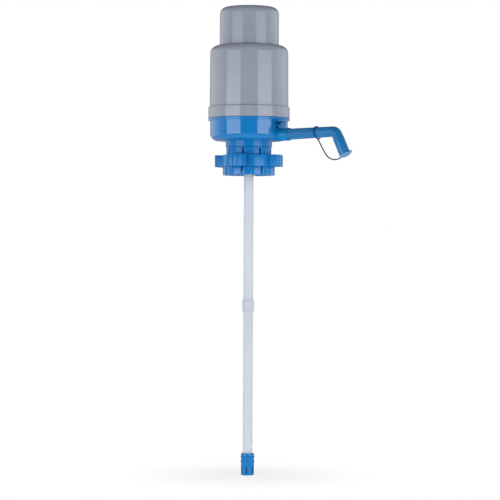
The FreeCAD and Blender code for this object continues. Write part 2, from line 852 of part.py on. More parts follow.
def valve_plate():
    body = valve_seat(housing_bore - plate_clearance, plate_z, plate_top_z)
    hole = moved_out(disc(screw_radius + screw_fit, plate_z - 1, plate_top_z + 1), screw_circle)
    return body.cut(around(hole, screw_count, 180.0 / screw_count)).removeSplitter()


def plate_seal():
    outer = housing_bore - plate_clearance
    return tube(outer, outer - plate_seal_width, ledge_z, plate_z)


def head_plate():
    body = valve_seat(cap_bore - head_plate_gap, head_bottom_z, head_z)
    hole = moved_out(disc(screw_radius + screw_fit, head_bottom_z - 1, head_z + 1), head_screw_circle)
    return body.cut(around(hole, head_screw_count)).removeSplitter()


def head_ring():
    body = tube(head_ring_radius, head_ring_bore, head_ring_z, head_bottom_z - bellows_flange)
    hole = moved_out(disc(screw_radius + screw_fit, head_ring_z - 1, head_bottom_z), head_screw_circle)
    return body.cut(around(hole, head_screw_count))


def valve_disc(seat_z):
    top = seat_z - valve_gap
    return turned([
        (post_radius + post_fit, top - valve_thickness, 0.2),
        (valve_radius, top - valve_thickness * 0.6, 0.2),
        (valve_radius, top),
        (post_radius + post_fit, top),
    ])


def retainer(seat_z):
    top = seat_z - valve_gap - valve_thickness - valve_lift - valve_gap
    body = tube(retainer_radius, post_radius + retainer_fit, top - retainer_thickness, top)
    notch = block((post_radius - 1, post_radius + retainer_notch_reach),
                  (-retainer_notch / 2, retainer_notch / 2), (top - retainer_thickness - 1, top + 1))
    return body.cut(around(notch, 4))


# ---------------------------------------------------------------- water way: elbow, tube, strainer

def outlet_elbow():
    """Socket for the dip tube below, bend, and duct that plugs into the spout's root."""
    hub_z = gasket_thickness + spider_height
    neck_z = spout_z - duct_bend_radius
    leg = turned([
        (0, -socket_drop),
        (socket_radius, -socket_drop),
        (socket_radius, hub_z),
        (socket_radius + elbow_collar, hub_z),
        (socket_radius + elbow_collar, min(hub_z + elbow_collar_height, neck_z - 0.1)),
        (duct_radius, neck_z),
        (0, neck_z),
    ])
    outer, end, _ = bend((0, neck_z), (0, 1), duct_bend_radius, -90, duct_radius)
    inner, _, _ = bend((0, neck_z), (0, 1), duct_bend_radius, -90, duct_bore)
    duct_end = (root_x + duct_engagement, spout_z)
    body = leg.fuse([outer, rod(end, duct_end, duct_radius)])
    cuts = [
        disc(tube_radius + tube_fit, -socket_drop - 1, socket_top_z),
        Part.makeCone(tube_radius + mouth_chamfer, tube_radius, mouth_chamfer,
                      FreeCAD.Vector(0, 0, -socket_drop)),
        disc(duct_bore, socket_top_z - 1, neck_z),
        inner,
        rod(end, (duct_end[0] + 1, spout_z), duct_bore),
        seal_groove(duct_radius - duct_seal_depth, duct_radius, duct_seal_x),
    ]
    return body.cut(cuts).removeSplitter()


def tube_piece(z, top):
    return tube(tube_radius, tube_radius - tube_wall, z, top)


def tube_coupling():
    middle = (upper_tube_z + lower_tube_top_z) / 2
    low, high = middle - coupling_length / 2, middle + coupling_length / 2
    bore = tube_radius + tube_fit
    outer = bore + coupling_wall
    return turned([
        (bore, low),
        (outer, low, 0.6),
        (outer, high, 0.6),
        (bore, high),
        (bore, upper_tube_z),
        (tube_radius - tube_wall, upper_tube_z),
        (tube_radius - tube_wall, lower_tube_top_z),
        (bore, lower_tube_top_z),
    ])


def strainer():
    """Foot with two ridges. Slots round its lower end let the water in."""
    bore = tube_radius + tube_fit
    ridge = strainer_radius + strainer_ridge
    flat = strainer_ridge_width / 2
    corners = [(0, strainer_z), (strainer_radius, strainer_z, strainer_edge_radius)]
    for drop in sorted(ridge_places, reverse=True):
        z = strainer_top_z - drop
        corners += [
            (strainer_radius, z - flat - strainer_ridge / 2),
            (ridge, z - flat),
            (ridge, z + flat),
            (strainer_radius, z + flat + strainer_ridge / 2),
        ]
    corners += [
        (strainer_radius, strainer_top_z, strainer_edge_radius),
        (bore, strainer_top_z),
        (bore, lower_tube_z),
        (tube_radius - tube_wall, lower_tube_z),
        (tube_radius - tube_wall, strainer_z + strainer_floor),
        (0, strainer_z + strainer_floor),
    ]
    slot_z = strainer_z + strainer_slot_rise
    slot = block((tube_radius - tube_wall - 2, strainer_radius + 1),
                 (-strainer_slot_width / 2, strainer_slot_width / 2),
                 (slot_z, slot_z + strainer_slot_height))
    notch = block((1.0, strainer_radius + 1), (-strainer_slot_width / 2, strainer_slot_width / 2),
                  (strainer_z - 1, strainer_z + strainer_notch_depth))
    cuts = around(slot, strainer_slots) + around(notch, strainer_slots, 180.0 / strainer_slots)
    return turned(corners).cut(cuts).removeSplitter()


# ---------------------------------------------------------------- spout, plug and tether

def spout():
    """Root in the boss, long arm, tight bend and nozzle."""
    rise = math.radians(arm_rise)
    way = (math.cos(rise), math.sin(rise))
    turn = -(90 - nozzle_tilt + arm_rise)
    reach = corner_radius * math.tan(math.radians(-turn / 2))
    elbow = (corner[0] - way[0] * reach, corner[1] - way[1] * reach)
    root_end = (kink[0] - rise_radius * math.tan(rise / 2), spout_z)
    solids = []
    for start, radius, nozzle, over in ((arm_radius, arm_end_radius, nozzle_radius, 0),
                                        (arm_bore, arm_bore, arm_bore, 1)):
        rise_solid, rise_end, _ = bend(root_end, (1, 0), rise_radius, arm_rise, start)
        corner_solid, end, _ = bend(elbow, way, corner_radius, turn, radius)
        taper_end = (end[0] + nozzle_way[0] * nozzle_taper_length,
                     end[1] + nozzle_way[1] * nozzle_taper_length)
        far = (tip[0] + nozzle_way[0] * over, tip[1] + nozzle_way[1] * over)
        pieces = [
            rise_solid,
            rod(rise_end, elbow, start, radius),
            corner_solid,
            rod(end, taper_end, radius, nozzle),
            rod(taper_end, far, nozzle),
        ]
        solids.append(rod((root_x - over, spout_z), root_end, start).fuse(pieces))
    groove = seal_groove(arm_radius - spout_seal_depth, arm_radius, spout_seal_x)
    return solids[0].cut([solids[1], groove]).removeSplitter()


def spout_cap():
    """Hollow plug with a flange, a pull tab on the outer side and a lug for the strap."""
    plug_radius = arm_bore - plug_fit
    low, high = flange_gap, flange_gap + flange_thickness
    body = turned([
        (0, high - plug_floor),
        (plug_radius - plug_wall, high - plug_floor),
        (plug_radius - plug_wall, -plug_length),
        (plug_radius, -plug_length, 0.5),
        (plug_radius, low),
        (flange_radius, low, 0.4),
        (flange_radius, high, 0.8),
        (0, high),
    ])
    tab = block((-tab_reach, 0), (-tab_width / 2, tab_width / 2), (high - tab_thickness, high))
    ends = [e for e in tab.Edges
            if abs(e.tangentAt(e.FirstParameter).z) > 0.9 and e.CenterOfMass.x < -tab_reach + 1]
    tab = tab.makeFillet(tab_width * 0.4, ends)
    tab = tab.cut(disc(flange_radius - weld, -1, high + 1))
    lug = block((flange_radius - weld, flange_radius + lug_reach), (-lug_width / 2, lug_width / 2),
                (low + lug_inset, high - lug_inset))
    return at_nozzle(body.fuse([tab, lug]).removeSplitter())


# The tether's loop hangs on the arm and leans with its lower side towards the nozzle.
arm_share = (tether_place - kink[0]) / (corner_reach - kink[0])
loop_radius = arm_radius + (arm_end_radius - arm_radius) * arm_share + tether_gap + tether_wire
lean = math.radians(tether_lean)
loop_centre = (
    tether_place,
    spout_z + (tether_place - kink[0]) * math.tan(math.radians(arm_rise)) - tether_drop,
)
knot = (
    loop_centre[0] + math.sin(lean) * (loop_radius + tether_wire),
    loop_centre[1] - math.cos(lean) * (loop_radius + tether_wire),
)


def tether_ring():
    axis = FreeCAD.Vector(math.cos(lean), 0, math.sin(lean))
    loop = Part.makeTorus(loop_radius, tether_wire, in_section(loop_centre), axis)
    return loop.fuse(Part.makeSphere(knot_radius, in_section(knot))).removeSplitter()


def tether_strap():
    """Two tangent arcs from the loop's knot to the plug's lug."""
    start_way = math.radians(strap_start_angle)
    tilt = math.radians(nozzle_tilt)
    t0 = in_section((math.cos(start_way), math.sin(start_way)))
    t1 = in_section((math.cos(tilt), math.sin(tilt)))
    p0 = in_section(knot) + t0 * (knot_radius + strap_gap)
    lug_end = Part.Vertex(flange_radius + lug_reach + strap_gap, 0, flange_gap + flange_thickness / 2)
    p1 = at_nozzle(lug_end).Point
    span = p1 - p0
    square = 2 * strap_share * (t0.dot(t1) - 1)
    straight = span.dot(t1) + strap_share * span.dot(t0)
    reach = (straight - math.sqrt(straight * straight - square * span.dot(span))) / square
    before, after = p0 + t0 * (strap_share * reach), p1 - t1 * reach
    joint = (before + after * strap_share) * (1 / (1 + strap_share))
    joint_way = (after - before).normalize()
    first = Part.Arc(p0, arc_middle(p0, t0, joint), joint).toShape()
    second = Part.Arc(joint, arc_middle(joint, joint_way, p1), p1).toShape()
    section = Part.Wire(Part.Circle(p0, t0, strap_radius).toShape())
    return Part.Wire([first, second]).makePipeShell([section], True, True)


def arc_middle(start, way, end):
    """The middle of the arc that leaves start along way and passes through end."""
    chord = end - start
    half = way.getAngle(chord) / 2
    to_side = way - chord * (way.dot(chord) / chord.dot(chord))
    bulge = chord.Length / 2 * math.tan(half)
    return start + chord * 0.5 + to_side.normalize() * bulge


# ---------------------------------------------------------------- write the sub-parts

nodes = {
    "base_housing": base_housing,
    "neck_collet": neck_collet,
    "lock_ring": lock_ring,
    "neck_gasket": neck_gasket,
    "barrel": barrel,
    "push_cap": push_cap,
    "bellows": bellows,
    "bellows_ring": bellows_ring,
    "plate_screws": lambda: ring_of_screws(screw_count, screw_circle, 180.0 / screw_count,
                                           clamp_top_z, screw_length, True),
    "valve_plate": valve_plate,
    "plate_seal": plate_seal,
    "discharge_valve": lambda: valve_disc(plate_z),
    "discharge_retainer": lambda: retainer(plate_z),
    "head_plate": head_plate,
    "head_ring": head_ring,
    "head_screws": lambda: ring_of_screws(head_screw_count, head_screw_circle, 0, head_ring_z,
                                          head_screw_length, False),
    "intake_valve": lambda: valve_disc(head_bottom_z),
    "intake_retainer": lambda: retainer(head_bottom_z),
    "outlet_elbow": outlet_elbow,
    "elbow_seal": lambda: seal_ring(duct_radius - duct_seal_depth, arm_bore, duct_seal_x),
    "spout_seal": lambda: seal_ring(arm_radius - spout_seal_depth, boss_bore, spout_seal_x),
    "tube_upper": lambda: tube_piece(upper_tube_z, socket_top_z),
    "tube_coupling": tube_coupling,
    "tube_lower": lambda: tube_piece(lower_tube_z, lower_tube_top_z),
    "strainer": strainer,
    "spout": spout,
    "spout_cap": spout_cap,
    "tether_ring": tether_ring,
    "tether_strap": tether_strap,
}

os.makedirs("parts", exist_ok=True)
for name, make in nodes.items():
    shape = make()
    shape.exportStep("parts/" + name + ".step")
    box = shape.BoundBox
    print(f"{name:20s} solids {len(shape.Solids):2d} valid {shape.isValid()} volume {shape.Volume:9.1f}"
          f"  z {box.ZMin:7.1f} to {box.ZMax:7.1f}")
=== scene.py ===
import math

import bmesh
import bpy
from mathutils import Matrix, Vector


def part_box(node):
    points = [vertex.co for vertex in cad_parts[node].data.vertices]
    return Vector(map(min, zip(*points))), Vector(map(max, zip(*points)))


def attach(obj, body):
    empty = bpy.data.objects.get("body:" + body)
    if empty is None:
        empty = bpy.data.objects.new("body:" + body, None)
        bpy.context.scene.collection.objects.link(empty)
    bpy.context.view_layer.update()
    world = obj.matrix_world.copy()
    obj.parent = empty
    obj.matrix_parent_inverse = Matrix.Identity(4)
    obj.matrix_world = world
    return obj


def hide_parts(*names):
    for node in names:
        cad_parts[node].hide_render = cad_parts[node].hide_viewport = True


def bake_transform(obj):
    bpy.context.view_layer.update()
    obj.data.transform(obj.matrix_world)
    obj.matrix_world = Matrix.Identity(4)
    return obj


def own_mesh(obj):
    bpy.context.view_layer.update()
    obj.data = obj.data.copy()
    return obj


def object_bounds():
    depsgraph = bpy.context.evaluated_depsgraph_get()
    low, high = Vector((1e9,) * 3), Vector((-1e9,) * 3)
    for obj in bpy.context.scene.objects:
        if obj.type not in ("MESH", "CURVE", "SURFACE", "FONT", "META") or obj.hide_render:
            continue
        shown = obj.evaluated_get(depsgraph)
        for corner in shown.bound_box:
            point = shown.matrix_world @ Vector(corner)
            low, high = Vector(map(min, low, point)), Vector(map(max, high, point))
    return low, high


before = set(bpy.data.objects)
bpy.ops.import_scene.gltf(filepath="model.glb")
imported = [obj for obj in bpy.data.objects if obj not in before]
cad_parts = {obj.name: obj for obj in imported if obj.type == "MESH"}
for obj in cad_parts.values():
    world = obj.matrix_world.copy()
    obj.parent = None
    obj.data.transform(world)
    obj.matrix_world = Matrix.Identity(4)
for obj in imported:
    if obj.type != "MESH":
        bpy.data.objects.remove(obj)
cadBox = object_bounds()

mm = 0.001  # sizes are in millimetres and angles in degrees, unless a note says otherwise
print("frame loaded:", len(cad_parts), "nodes")


class Sizes:  # a dictionary's values, read as names
    def __init__(self, values):
        self.__dict__.update(values)


def span(node):  # a node's lowest and highest z
    return [corner.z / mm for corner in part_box(node)]


def heading(angle):  # radians
    return Vector((math.cos(angle), math.sin(angle)))


def leftOf(way):
    return Vector((-way[1], way[0]))


def spun(v, angle):  # radians
    c, s = math.cos(angle), math.sin(angle)
    return Vector((v.x * c - v.y * s, v.x * s + v.y * c))


def polar(radius, degrees, z=0):
    a = math.radians(degrees)
    return Vector((radius * math.cos(a), radius * math.sin(a), z))


def shares(count, first=1):  # equal steps up to 1
    return [k / count for k in range(first, count + 1)]


def arcPoints(centre, radius, start, end, steps):
    angles = [math.radians(start + (end - start) * k / steps) for k in range(steps + 1)]
    return [Vector((centre[0] + radius * math.cos(a), centre[1] + radius * math.sin(a))) for a in angles]


def rounded(corners, steps=6):  # (a, b) or (a, b, fillet radius) to the points of a closed outline
    points = []
    for i, corner in enumerate(corners):
        here = Vector(corner[:2])
        radius = corner[2] if len(corner) > 2 else 0
        if not radius:
            points.append(here)
            continue
        back = (Vector(corners[i - 1][:2]) - here).normalized()
        ahead = (Vector(corners[(i + 1) % len(corners)][:2]) - here).normalized()
        half = back.angle(ahead) / 2
        centre = here + (back + ahead).normalized() * (radius / math.sin(half))
        first = here + back * (radius / math.tan(half)) - centre
        last = here + ahead * (radius / math.tan(half)) - centre
        turn = math.atan2(first.x * last.y - first.y * last.x, first.dot(last))
        points += [centre + spun(first, turn * k / steps) for k in range(steps + 1)]
    return points


def newObject(name, data):
    obj = bpy.data.objects.new(name, data)
    bpy.context.scene.collection.objects.link(obj)
    return obj


def build(name, points, faces, matrix=None):  # an object with clean, outward faces
    mesh = bpy.data.meshes.new(name)
    mesh.from_pydata([Vector(p) * mm for p in points], [], faces)
    work = bmesh.new()
    work.from_mesh(mesh)
    bmesh.ops.remove_doubles(work, verts=work.verts, dist=1e-7)
    bmesh.ops.recalc_face_normals(work, faces=work.faces)
    work.to_mesh(mesh)
    work.free()
    if matrix is not None:
        mesh.transform(matrix)
    return newObject(name, mesh)


def circle(centre, radius, sides):
    return arcPoints(centre, radius, 0, 360 - 360 / sides, sides - 1)


def tubular(inner, outer, low, high, edges=(0, 0, 0, 0)):  # a tube's profile, edges its four fillets
    corners = ((inner, low), (outer, low), (outer, high), (inner, high))
    return [(*corner, edge) for corner, edge in zip(corners, edges)]


def turned(name, corners, sides=144, steps=6, matrix=None):  # a closed profile (radius, z) swung about Z
    profile = rounded(corners, steps)
    count = len(profile)
    points, faces = [], []
    for k in range(sides):
        a = 2 * math.pi * k / sides
        points += [(p[0] * math.cos(a), p[0] * math.sin(a), p[1]) for p in profile]
        here, there = k * count, (k + 1) % sides * count
        for i in range(count):
            j = (i + 1) % count
            if profile[i][0] > 1e-6 or profile[j][0] > 1e-6:  # what lies on the axis sweeps no face
                faces.append((here + i, here + j, there + j, there + i))
    return build(name, points, faces, matrix)


def prism(name, outline, low, high):  # a plan outline between two heights
    count = len(outline)
    points = [(p[0], p[1], z) for z in (low, high) for p in outline]
    faces = [tuple(range(count)), tuple(range(count, 2 * count))]
    faces += [(i, (i + 1) % count, count + (i + 1) % count, count + i) for i in range(count)]
    return build(name, points, faces)


def box(name, x, y, z):
    return prism(name, [(x[0], y[0]), (x[1], y[0]), (x[1], y[1]), (x[0], y[1])], *z)


def sector(name, inner, outer, first, last, low, high, steps=12):  # part of a ring, between two angles
    outline = arcPoints((0, 0), outer, first, last, steps) + arcPoints((0, 0), inner, last, first, steps)
    return prism(name, outline, low, high)


def pipe(name, stations, sides, closed=False):  # a skin over rings (centre, direction, radius) along XZ
    points, faces = [], []
    for centre, way, radius in stations:
        for k in range(sides):
            a = 2 * math.pi * k / sides
            out = leftOf(way) * (radius * math.cos(a))
            points.append((centre[0] + out[0], radius * math.sin(a), centre[1] + out[1]))
    rings = len(stations)
    for i in range(rings if closed else rings - 1):
        here, there = i * sides, (i + 1) % rings * sides
        for k in range(sides):
            j = (k + 1) % sides
            faces.append((here + k, here + j, there + j, there + k))
    if not closed:
        faces += [tuple(range(sides)), tuple(range((rings - 1) * sides, rings * sides))]
    return build(name, points, faces)


def bakeModifiers(obj):
    graph = bpy.context.evaluated_depsgraph_get()
    mesh = bpy.data.meshes.new_from_object(obj.evaluated_get(graph))
    obj.modifiers.clear()
    obj.data = mesh


def combine(obj, others, operation):
    for other in others:
        step = obj.modifiers.new("combine", "BOOLEAN")
        step.operation = operation
        step.solver = "EXACT"
        step.object = other
        bakeModifiers(obj)
        bpy.data.objects.remove(other)


def copiesAround(obj, count, start=0):
    made = []
    for k in range(count):
        copy = newObject(obj.name, obj.data.copy())
        copy.data.transform(Matrix.Rotation(math.radians(start + 360 * k / count), 4, "Z"))
        made.append(copy)
    bpy.data.objects.remove(obj)
    return made


def soften(obj, width=0, segments=2, above=50, sharp=32):  # rounds edges sharper than above, then shades
    if width:
        step = obj.modifiers.new("edges", "BEVEL")
        step.width = width * mm
        step.segments = segments
        step.limit_method = "ANGLE"
        step.angle_limit = math.radians(above)
        bakeModifiers(obj)
    obj.data.shade_smooth()
    obj.data.set_sharp_from_angle(angle=math.radians(sharp))
    return obj


def finished(obj, finish, node, body="pump_body"):  # shaded, painted, on its body and in its node's place
    soften(obj)
    paint(obj, finish)
    if body:
        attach(obj, body)
    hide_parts(node)


def paint(obj, finish):
    slotName, material = finish
    obj.data.materials.clear()
    obj.data.materials.append(material)


class Wire:  # a node's output; sums and products of wires add their Math nodes
    def __init__(self, tree, socket=None):
        self.tree = tree
        self.socket = socket

    def node(self, kind, settings=None, inputs=None, output=0):
        made = self.tree.nodes.new("ShaderNode" + kind)
        for key, value in (settings or {}).items():
            setattr(made, key, value)
        for key, value in (inputs or {}).items():
            if isinstance(value, Wire):
                self.tree.links.new(value.socket, made.inputs[key])
            else:
                made.inputs[key].default_value = value
        return Wire(self.tree, made.outputs[output])

    def maths(self, operation, *values):
        return self.node("Math", {"operation": operation}, dict(enumerate(values)))

    def vectorMaths(self, operation, *values, output=0):
        return self.node("VectorMath", {"operation": operation}, dict(enumerate(values)), output)

    def __add__(self, other):
        return self.maths("ADD", self, other)

    def __sub__(self, other):
        return self.maths("SUBTRACT", self, other)

    def __rsub__(self, other):
        return self.maths("SUBTRACT", other, self)

    def __mul__(self, other):
        return self.maths("MULTIPLY", self, other)

    def __truediv__(self, other):
        return self.maths("DIVIDE", self, other)

    def __rtruediv__(self, other):
        return self.maths("DIVIDE", other, self)

    __radd__ = __add__
    __rmul__ = __mul__

    def between(self, low, high):  # 0 below low, 1 above high
        return self.node("MapRange", {"interpolation_type": "SMOOTHSTEP"},
                         {"Value": self, "From Min": low, "From Max": high})

    def within(self, *edges):  # in mm, up to 1 over the first two edges and down over the last two
        rise, low, high, fall = (edge * mm for edge in edges)
        return self.between(rise, low) - self.between(high, fall)

    def blend(self, first, second):  # colours, by this wire as the factor
        return self.node("Mix", {"data_type": "RGBA"}, {0: self, 6: first, 7: second}, 2)

    def part(self, index):  # 0 to 2 for X to Z
        return self.node("SeparateXYZ", None, {0: self}, index)

    def scaled(self, *factors):
        return self.vectorMaths("MULTIPLY", self, factors)

    def along(self, way):
        return self.vectorMaths("DOT_PRODUCT", self, way, output=1)

    def fromAxis(self):
        return self.vectorMaths("LENGTH", self.scaled(1, 1, 0), output=1)

    def noise(self, scale, detail, distortion=0):
        return self.node("TexNoise", None, {"Vector": self, "Scale": scale, "Detail": detail,
                                            "Distortion": distortion})

    def relief(self):  # this wire as a height in millimetres
        return self.node("Bump", None, {"Height": self, "Distance": mm, "Strength": 1.0})

    def close(self, kind):
        out = self.tree.nodes.new("ShaderNodeOutput" + kind)
        self.tree.links.new(self.socket, out.inputs["Surface"])


def emptyTree(owner):
    owner.use_nodes = True
    owner.node_tree.nodes.clear()
    return Wire(owner.node_tree)


def linear(red, green, blue):  # a screen colour of 0 to 255 as light
    def channel(value):
        v = value / 255
        return v / 12.92 if v <= 0.04045 else ((v + 0.055) / 1.055) ** 2.4
    return (channel(red), channel(green), channel(blue), 1)


def shaded(colour, factor):
    return tuple(min(1, c * factor) for c in colour[:3]) + (1,)


# A noise is its scale per metre, detail and distortion, and long ones have that share of the scale along Z.
# Edges are where a change begins and ends.
marks = {"cloud": (22, 3), "streak": (140, 2), "streakLong": 0.12, "streakShare": 0.3, "peel": (900, 1),
         "grain": (5200, 1), "smudge": (60, 5, 0.8), "scratch": (1500, 0), "scratchLong": 0.03,
         "toneEdges": (0.35, 0.65), "smudgeEdges": (0.45, 0.75), "scratchEdges": (0.66, 0.72),
         "coatFades": (1, 0.1, 0.8), "milk": (90, 3), "line": (1300, 2), "lineLong": 0.02,
         "plating": (700, 4), "platingEdges": (0.3, 0.7)}


def gloss(name, look, shadeMask=None):  # injection-moulded plastic, with painted shade, matt and dark, where the mask is 1
    material = bpy.data.materials.new(name)
    wires = emptyTree(material)
    place = wires.node("TexCoord", output=3)
    m = Sizes(marks)
    base, spread = look["colour"], look["spread"]
    cloud = place.noise(*m.cloud)
    streak = place.scaled(1, 1, m.streakLong).noise(*m.streak)  # flow marks
    smudge = place.noise(*m.smudge)
    scratch = place.scaled(1, 1, m.scratchLong).noise(*m.scratch)
    tone = cloud * (1 - m.streakShare) + streak * m.streakShare
    colour = tone.between(*m.toneEdges).blend(shaded(base, 1 - spread), shaded(base, 1 + spread))
    rough = (look["rough"] + smudge.between(*m.smudgeEdges) * look["smudges"]
             + scratch.between(*m.scratchEdges) * look["scratches"])
    height = place.noise(*m.peel) * look["peel"] + place.noise(*m.grain) * look["grain"]
    coat = look["coat"]
    if "coatFrom" in look:  # polished between two heights, and plain past plainFrom along X
        low, high, end = look["coatFrom"], look["coatTo"], look["plainFrom"]
        lowFade, highFade, endFade = m.coatFades
        polished = place.part(2).within(low - lowFade, low, high - highFade, high)
        coat = polished * (1 - place.part(0).between(end * mm, (end + endFade) * mm)) * coat
    surface = wires.node("BsdfPrincipled", None, {
        "Base Color": colour, "Roughness": rough, "Normal": height.relief(), "IOR": look["ior"],
        "Coat Weight": coat, "Coat Roughness": look["coatRough"], "Coat IOR": look["coatIor"],
        "Subsurface Weight": look["depth"], "Subsurface Radius": (1, 1, 1), "Subsurface Scale": mm})
    # painted shade: a darker matt copy of the base colour, mixed in by the mask
    if shadeMask:
        matt = wires.node("BsdfDiffuse", None, {"Color": shaded(base, look["shadeFactor"])})
        surface = wires.node("MixShader", None, {0: shadeMask(place), 1: surface, 2: matt})
    surface.close("Material")
    return material


def clear(name, look):  # translucent soft plastic
    material = bpy.data.materials.new(name)
    wires = emptyTree(material)
    place = wires.node("TexCoord", output=3)
    cloud = place.noise(*marks["milk"])
    drawn = place.scaled(1, 1, marks["lineLong"]).noise(*marks["line"])  # as on an extruded tube
    base = look["colour"]
    colour = cloud.between(*marks["toneEdges"]).blend(shaded(base, 1 - look["spread"]), base)
    wires.node("BsdfPrincipled", None, {
        "Base Color": colour, "Roughness": look["rough"] + cloud * look["smudges"],
        "Normal": (drawn * look["drawn"]).relief(), "IOR": look["ior"],
        "Transmission Weight": look["clear"], "Coat Weight": look["coat"],
        "Coat Roughness": look["coatRough"]}).close("Material")
    return material


def metal(name, look):
    material = bpy.data.materials.new(name)
    wires = emptyTree(material)
    cloud = wires.node("TexCoord", output=3).noise(*marks["plating"])
    base = look["colour"]
    colour = cloud.between(*marks["platingEdges"]).blend(shaded(base, 1 - look["spread"]), base)
    wires.node("BsdfPrincipled", None, {
        "Base Color": colour, "Roughness": look["rough"] + cloud * look["smudges"], "Metallic": 1.0,
        "Normal": (cloud * look["peel"]).relief()}).close("Material")
    return material


# Peel, grain and drawn are heights in millimetres. One factor darkens the base colour where shade is
# painted.
greyLook = {"colour": linear(140, 147, 162), "spread": 0.025, "rough": 0.12, "smudges": 0.05,
            "scratches": 0.08, "peel": 0.004, "grain": 0.0006, "ior": 1.79, "coat": 0.0, "coatRough": 0.04,
            "coatIor": 1.5, "depth": 0.0, "shadeFactor": 0.45}
blueLook = {**greyLook, "colour": linear(8, 113, 179), "spread": 0.04, "rough": 0.14, "scratches": 0.06,
            "ior": 1.55}
bowlLook = {**blueLook, "ior": 1.45, "coat": 0.65, "coatIor": 1.79, "coatFrom": 11, "coatTo": 60,
            "plainFrom": 53.7, "shadeFactor": 0.4}
gripLook = {**blueLook, "colour": linear(7, 115, 184), "rough": 0.18, "ior": 1.45, "peel": 0.002,
            "grain": 0.0004}
colletLook = {**gripLook, "ior": 1.4, "coat": 0.4, "coatIor": 1.79, "coatFrom": -45, "coatTo": -28.2,
              "plainFrom": 90}
spoutLook = {**blueLook, "colour": linear(20, 108, 166), "rough": 0.27, "peel": 0.0015, "grain": 0.0003,
             "smudges": 0.02, "scratches": 0.02}
softLook = {"colour": linear(236, 238, 236), "spread": 0.05, "rough": 0.45, "smudges": 0.1,
            "scratches": 0.0, "peel": 0.01, "grain": 0.001, "ior": 1.43, "coat": 0.0, "coatRough": 0.1,
            "coatIor": 1.5, "depth": 0.3}
sealLook = {**softLook, "colour": linear(34, 34, 36), "spread": 0.1, "rough": 0.55, "grain": 0.002,
            "ior": 1.5, "depth": 0.0}
foldLook = {**softLook, "colour": linear(70, 120, 178), "rough": 0.4, "peel": 0.006, "ior": 1.47,
            "coat": 0.1, "coatRough": 0.2, "depth": 0.2}
elbowLook = {**softLook, "colour": linear(84, 108, 134), "spread": 0.03, "rough": 0.4, "smudges": 0.06,
             "peel": 0.004, "ior": 1.4, "depth": 0.0}
whiteLook = {**softLook, "colour": linear(226, 228, 228), "spread": 0.03, "rough": 0.3, "smudges": 0.06,
             "scratches": 0.04, "peel": 0.004, "ior": 1.5, "coat": 0.2, "depth": 0.1}
tetherLook = {"colour": linear(2, 70, 134), "spread": 0.06, "rough": 0.4, "smudges": 0.05, "drawn": 0.001,
              "ior": 1.3, "clear": 0.0, "coat": 0.0, "coatRough": 0.08}
strapLook = {**tetherLook, "colour": linear(4, 60, 94), "rough": 0.6}
plugLook = {**tetherLook, "colour": linear(104, 150, 196), "spread": 0.03, "rough": 0.35, "drawn": 0.0005,
            "ior": 1.45, "clear": 0.15, "coat": 0.1}
tubeLook = {**tetherLook, "colour": linear(232, 238, 246), "spread": 0.02, "rough": 0.3, "smudges": 0.08,
            "drawn": 0.002, "ior": 1.5, "clear": 0.6, "coat": 0.2}
steelLook = {"colour": linear(196, 198, 202), "spread": 0.1, "rough": 0.25, "smudges": 0.15, "peel": 0.01}

grey = ("grey_gloss", gloss("greyGloss", greyLook))
blue = ("blue_gloss", gloss("blueGloss", blueLook))
gripBlue = ("blue_gloss", gloss("gripBlue", gripLook))
colletBlue = ("blue_gloss", gloss("colletBlue", colletLook))
spoutBlue = ("blue_gloss", gloss("spoutBlue", spoutLook))
tetherBlue = ("blue_clear", clear("tetherBlue", tetherLook))
strapBlue = ("blue_clear", clear("strapBlue", strapLook))
plugBlue = ("blue_clear", clear("plugBlue", plugLook))
tubeMilky = ("tube_milky", clear("tubeMilky", tubeLook))
silicone = ("silicone_white", gloss("siliconeWhite", softLook))
sealBlack = ("seal_black", gloss("sealBlack", sealLook))
foldBlue = ("bellows_blue", gloss("bellowsBlue", foldLook))
innerWhite = ("inner_white", gloss("innerWhite", whiteLook))
elbowGrey = ("inner_white", gloss("elbowGrey", elbowLook))
steel = ("screw_steel", metal("screwSteel", steelLook))
print("materials ready")

camera = {"distance": 3000, "height": -149.3, "azimuth": 37.5, "focal": 2050, "axisAt": 248.4, "roll": 0.25,
          "frame": 500, "sensor": 36, "reach": 50000}  # focal, axisAt and frame in pixels


def makeCamera():  # returns the level direction to the camera
    c = Sizes(camera)
    data = bpy.data.cameras.new("camera")
    data.sensor_width = c.sensor
    data.lens = c.sensor * c.focal / c.frame
    data.shift_x = (c.frame / 2 - c.axisAt) / c.frame
    data.clip_end = c.reach * mm
    obj = newObject("camera", data)
    a = math.radians(c.azimuth)
    away = Vector((math.sin(a), -math.cos(a), 0))
    obj.location = away * c.distance * mm + Vector((0, 0, c.height * mm))
    level = (-away).to_track_quat("-Z", "Y").to_matrix()
    obj.rotation_euler = (level @ Matrix.Rotation(math.radians(c.roll), 3, "Z")).to_euler()
    bpy.context.scene.camera = obj
    return away


toCamera = makeCamera()

# Each soft box is a pair, one seen in mirrors with mirrorShare of the light and one unseen with the rest.
# Edges are cosines of the angle to a direction, where a change of the surrounding light begins and ends.
studio = {"boxDistance": 2000, "boxFrom": 25, "boxTo": 68.5, "boxLow": -600, "boxHigh": 540,
          "boxLeft": 4.95, "boxRight": 5.3, "boxFade": 0.68, "mirrorShare": 0.43,
          "bounceSize": 1100, "bounce": 0.62, "ambient": 0.45, "overhead": 0.5, "mirrorDark": 0.03,
          "wallNear": 0.26, "wallSide": 0.8, "wallBack": 0.32, "wallLeft": 0.12, "overheadEdges": (0.1, 0.9),
          "nearEdges": (-0.35, -0.1), "sideEdges": (-0.3, 0.5), "backEdges": (0.65, 0.95),
          "leftEdges": (0, 0.5), "leftBack": (0.5, 0.8), "topEdges": (0.4, 1), "topNear": 0.85,
          "topDrop": 0.5, "watts": 4}  # a square metre of lamp at 4 watts looks as bright as a strength of 1


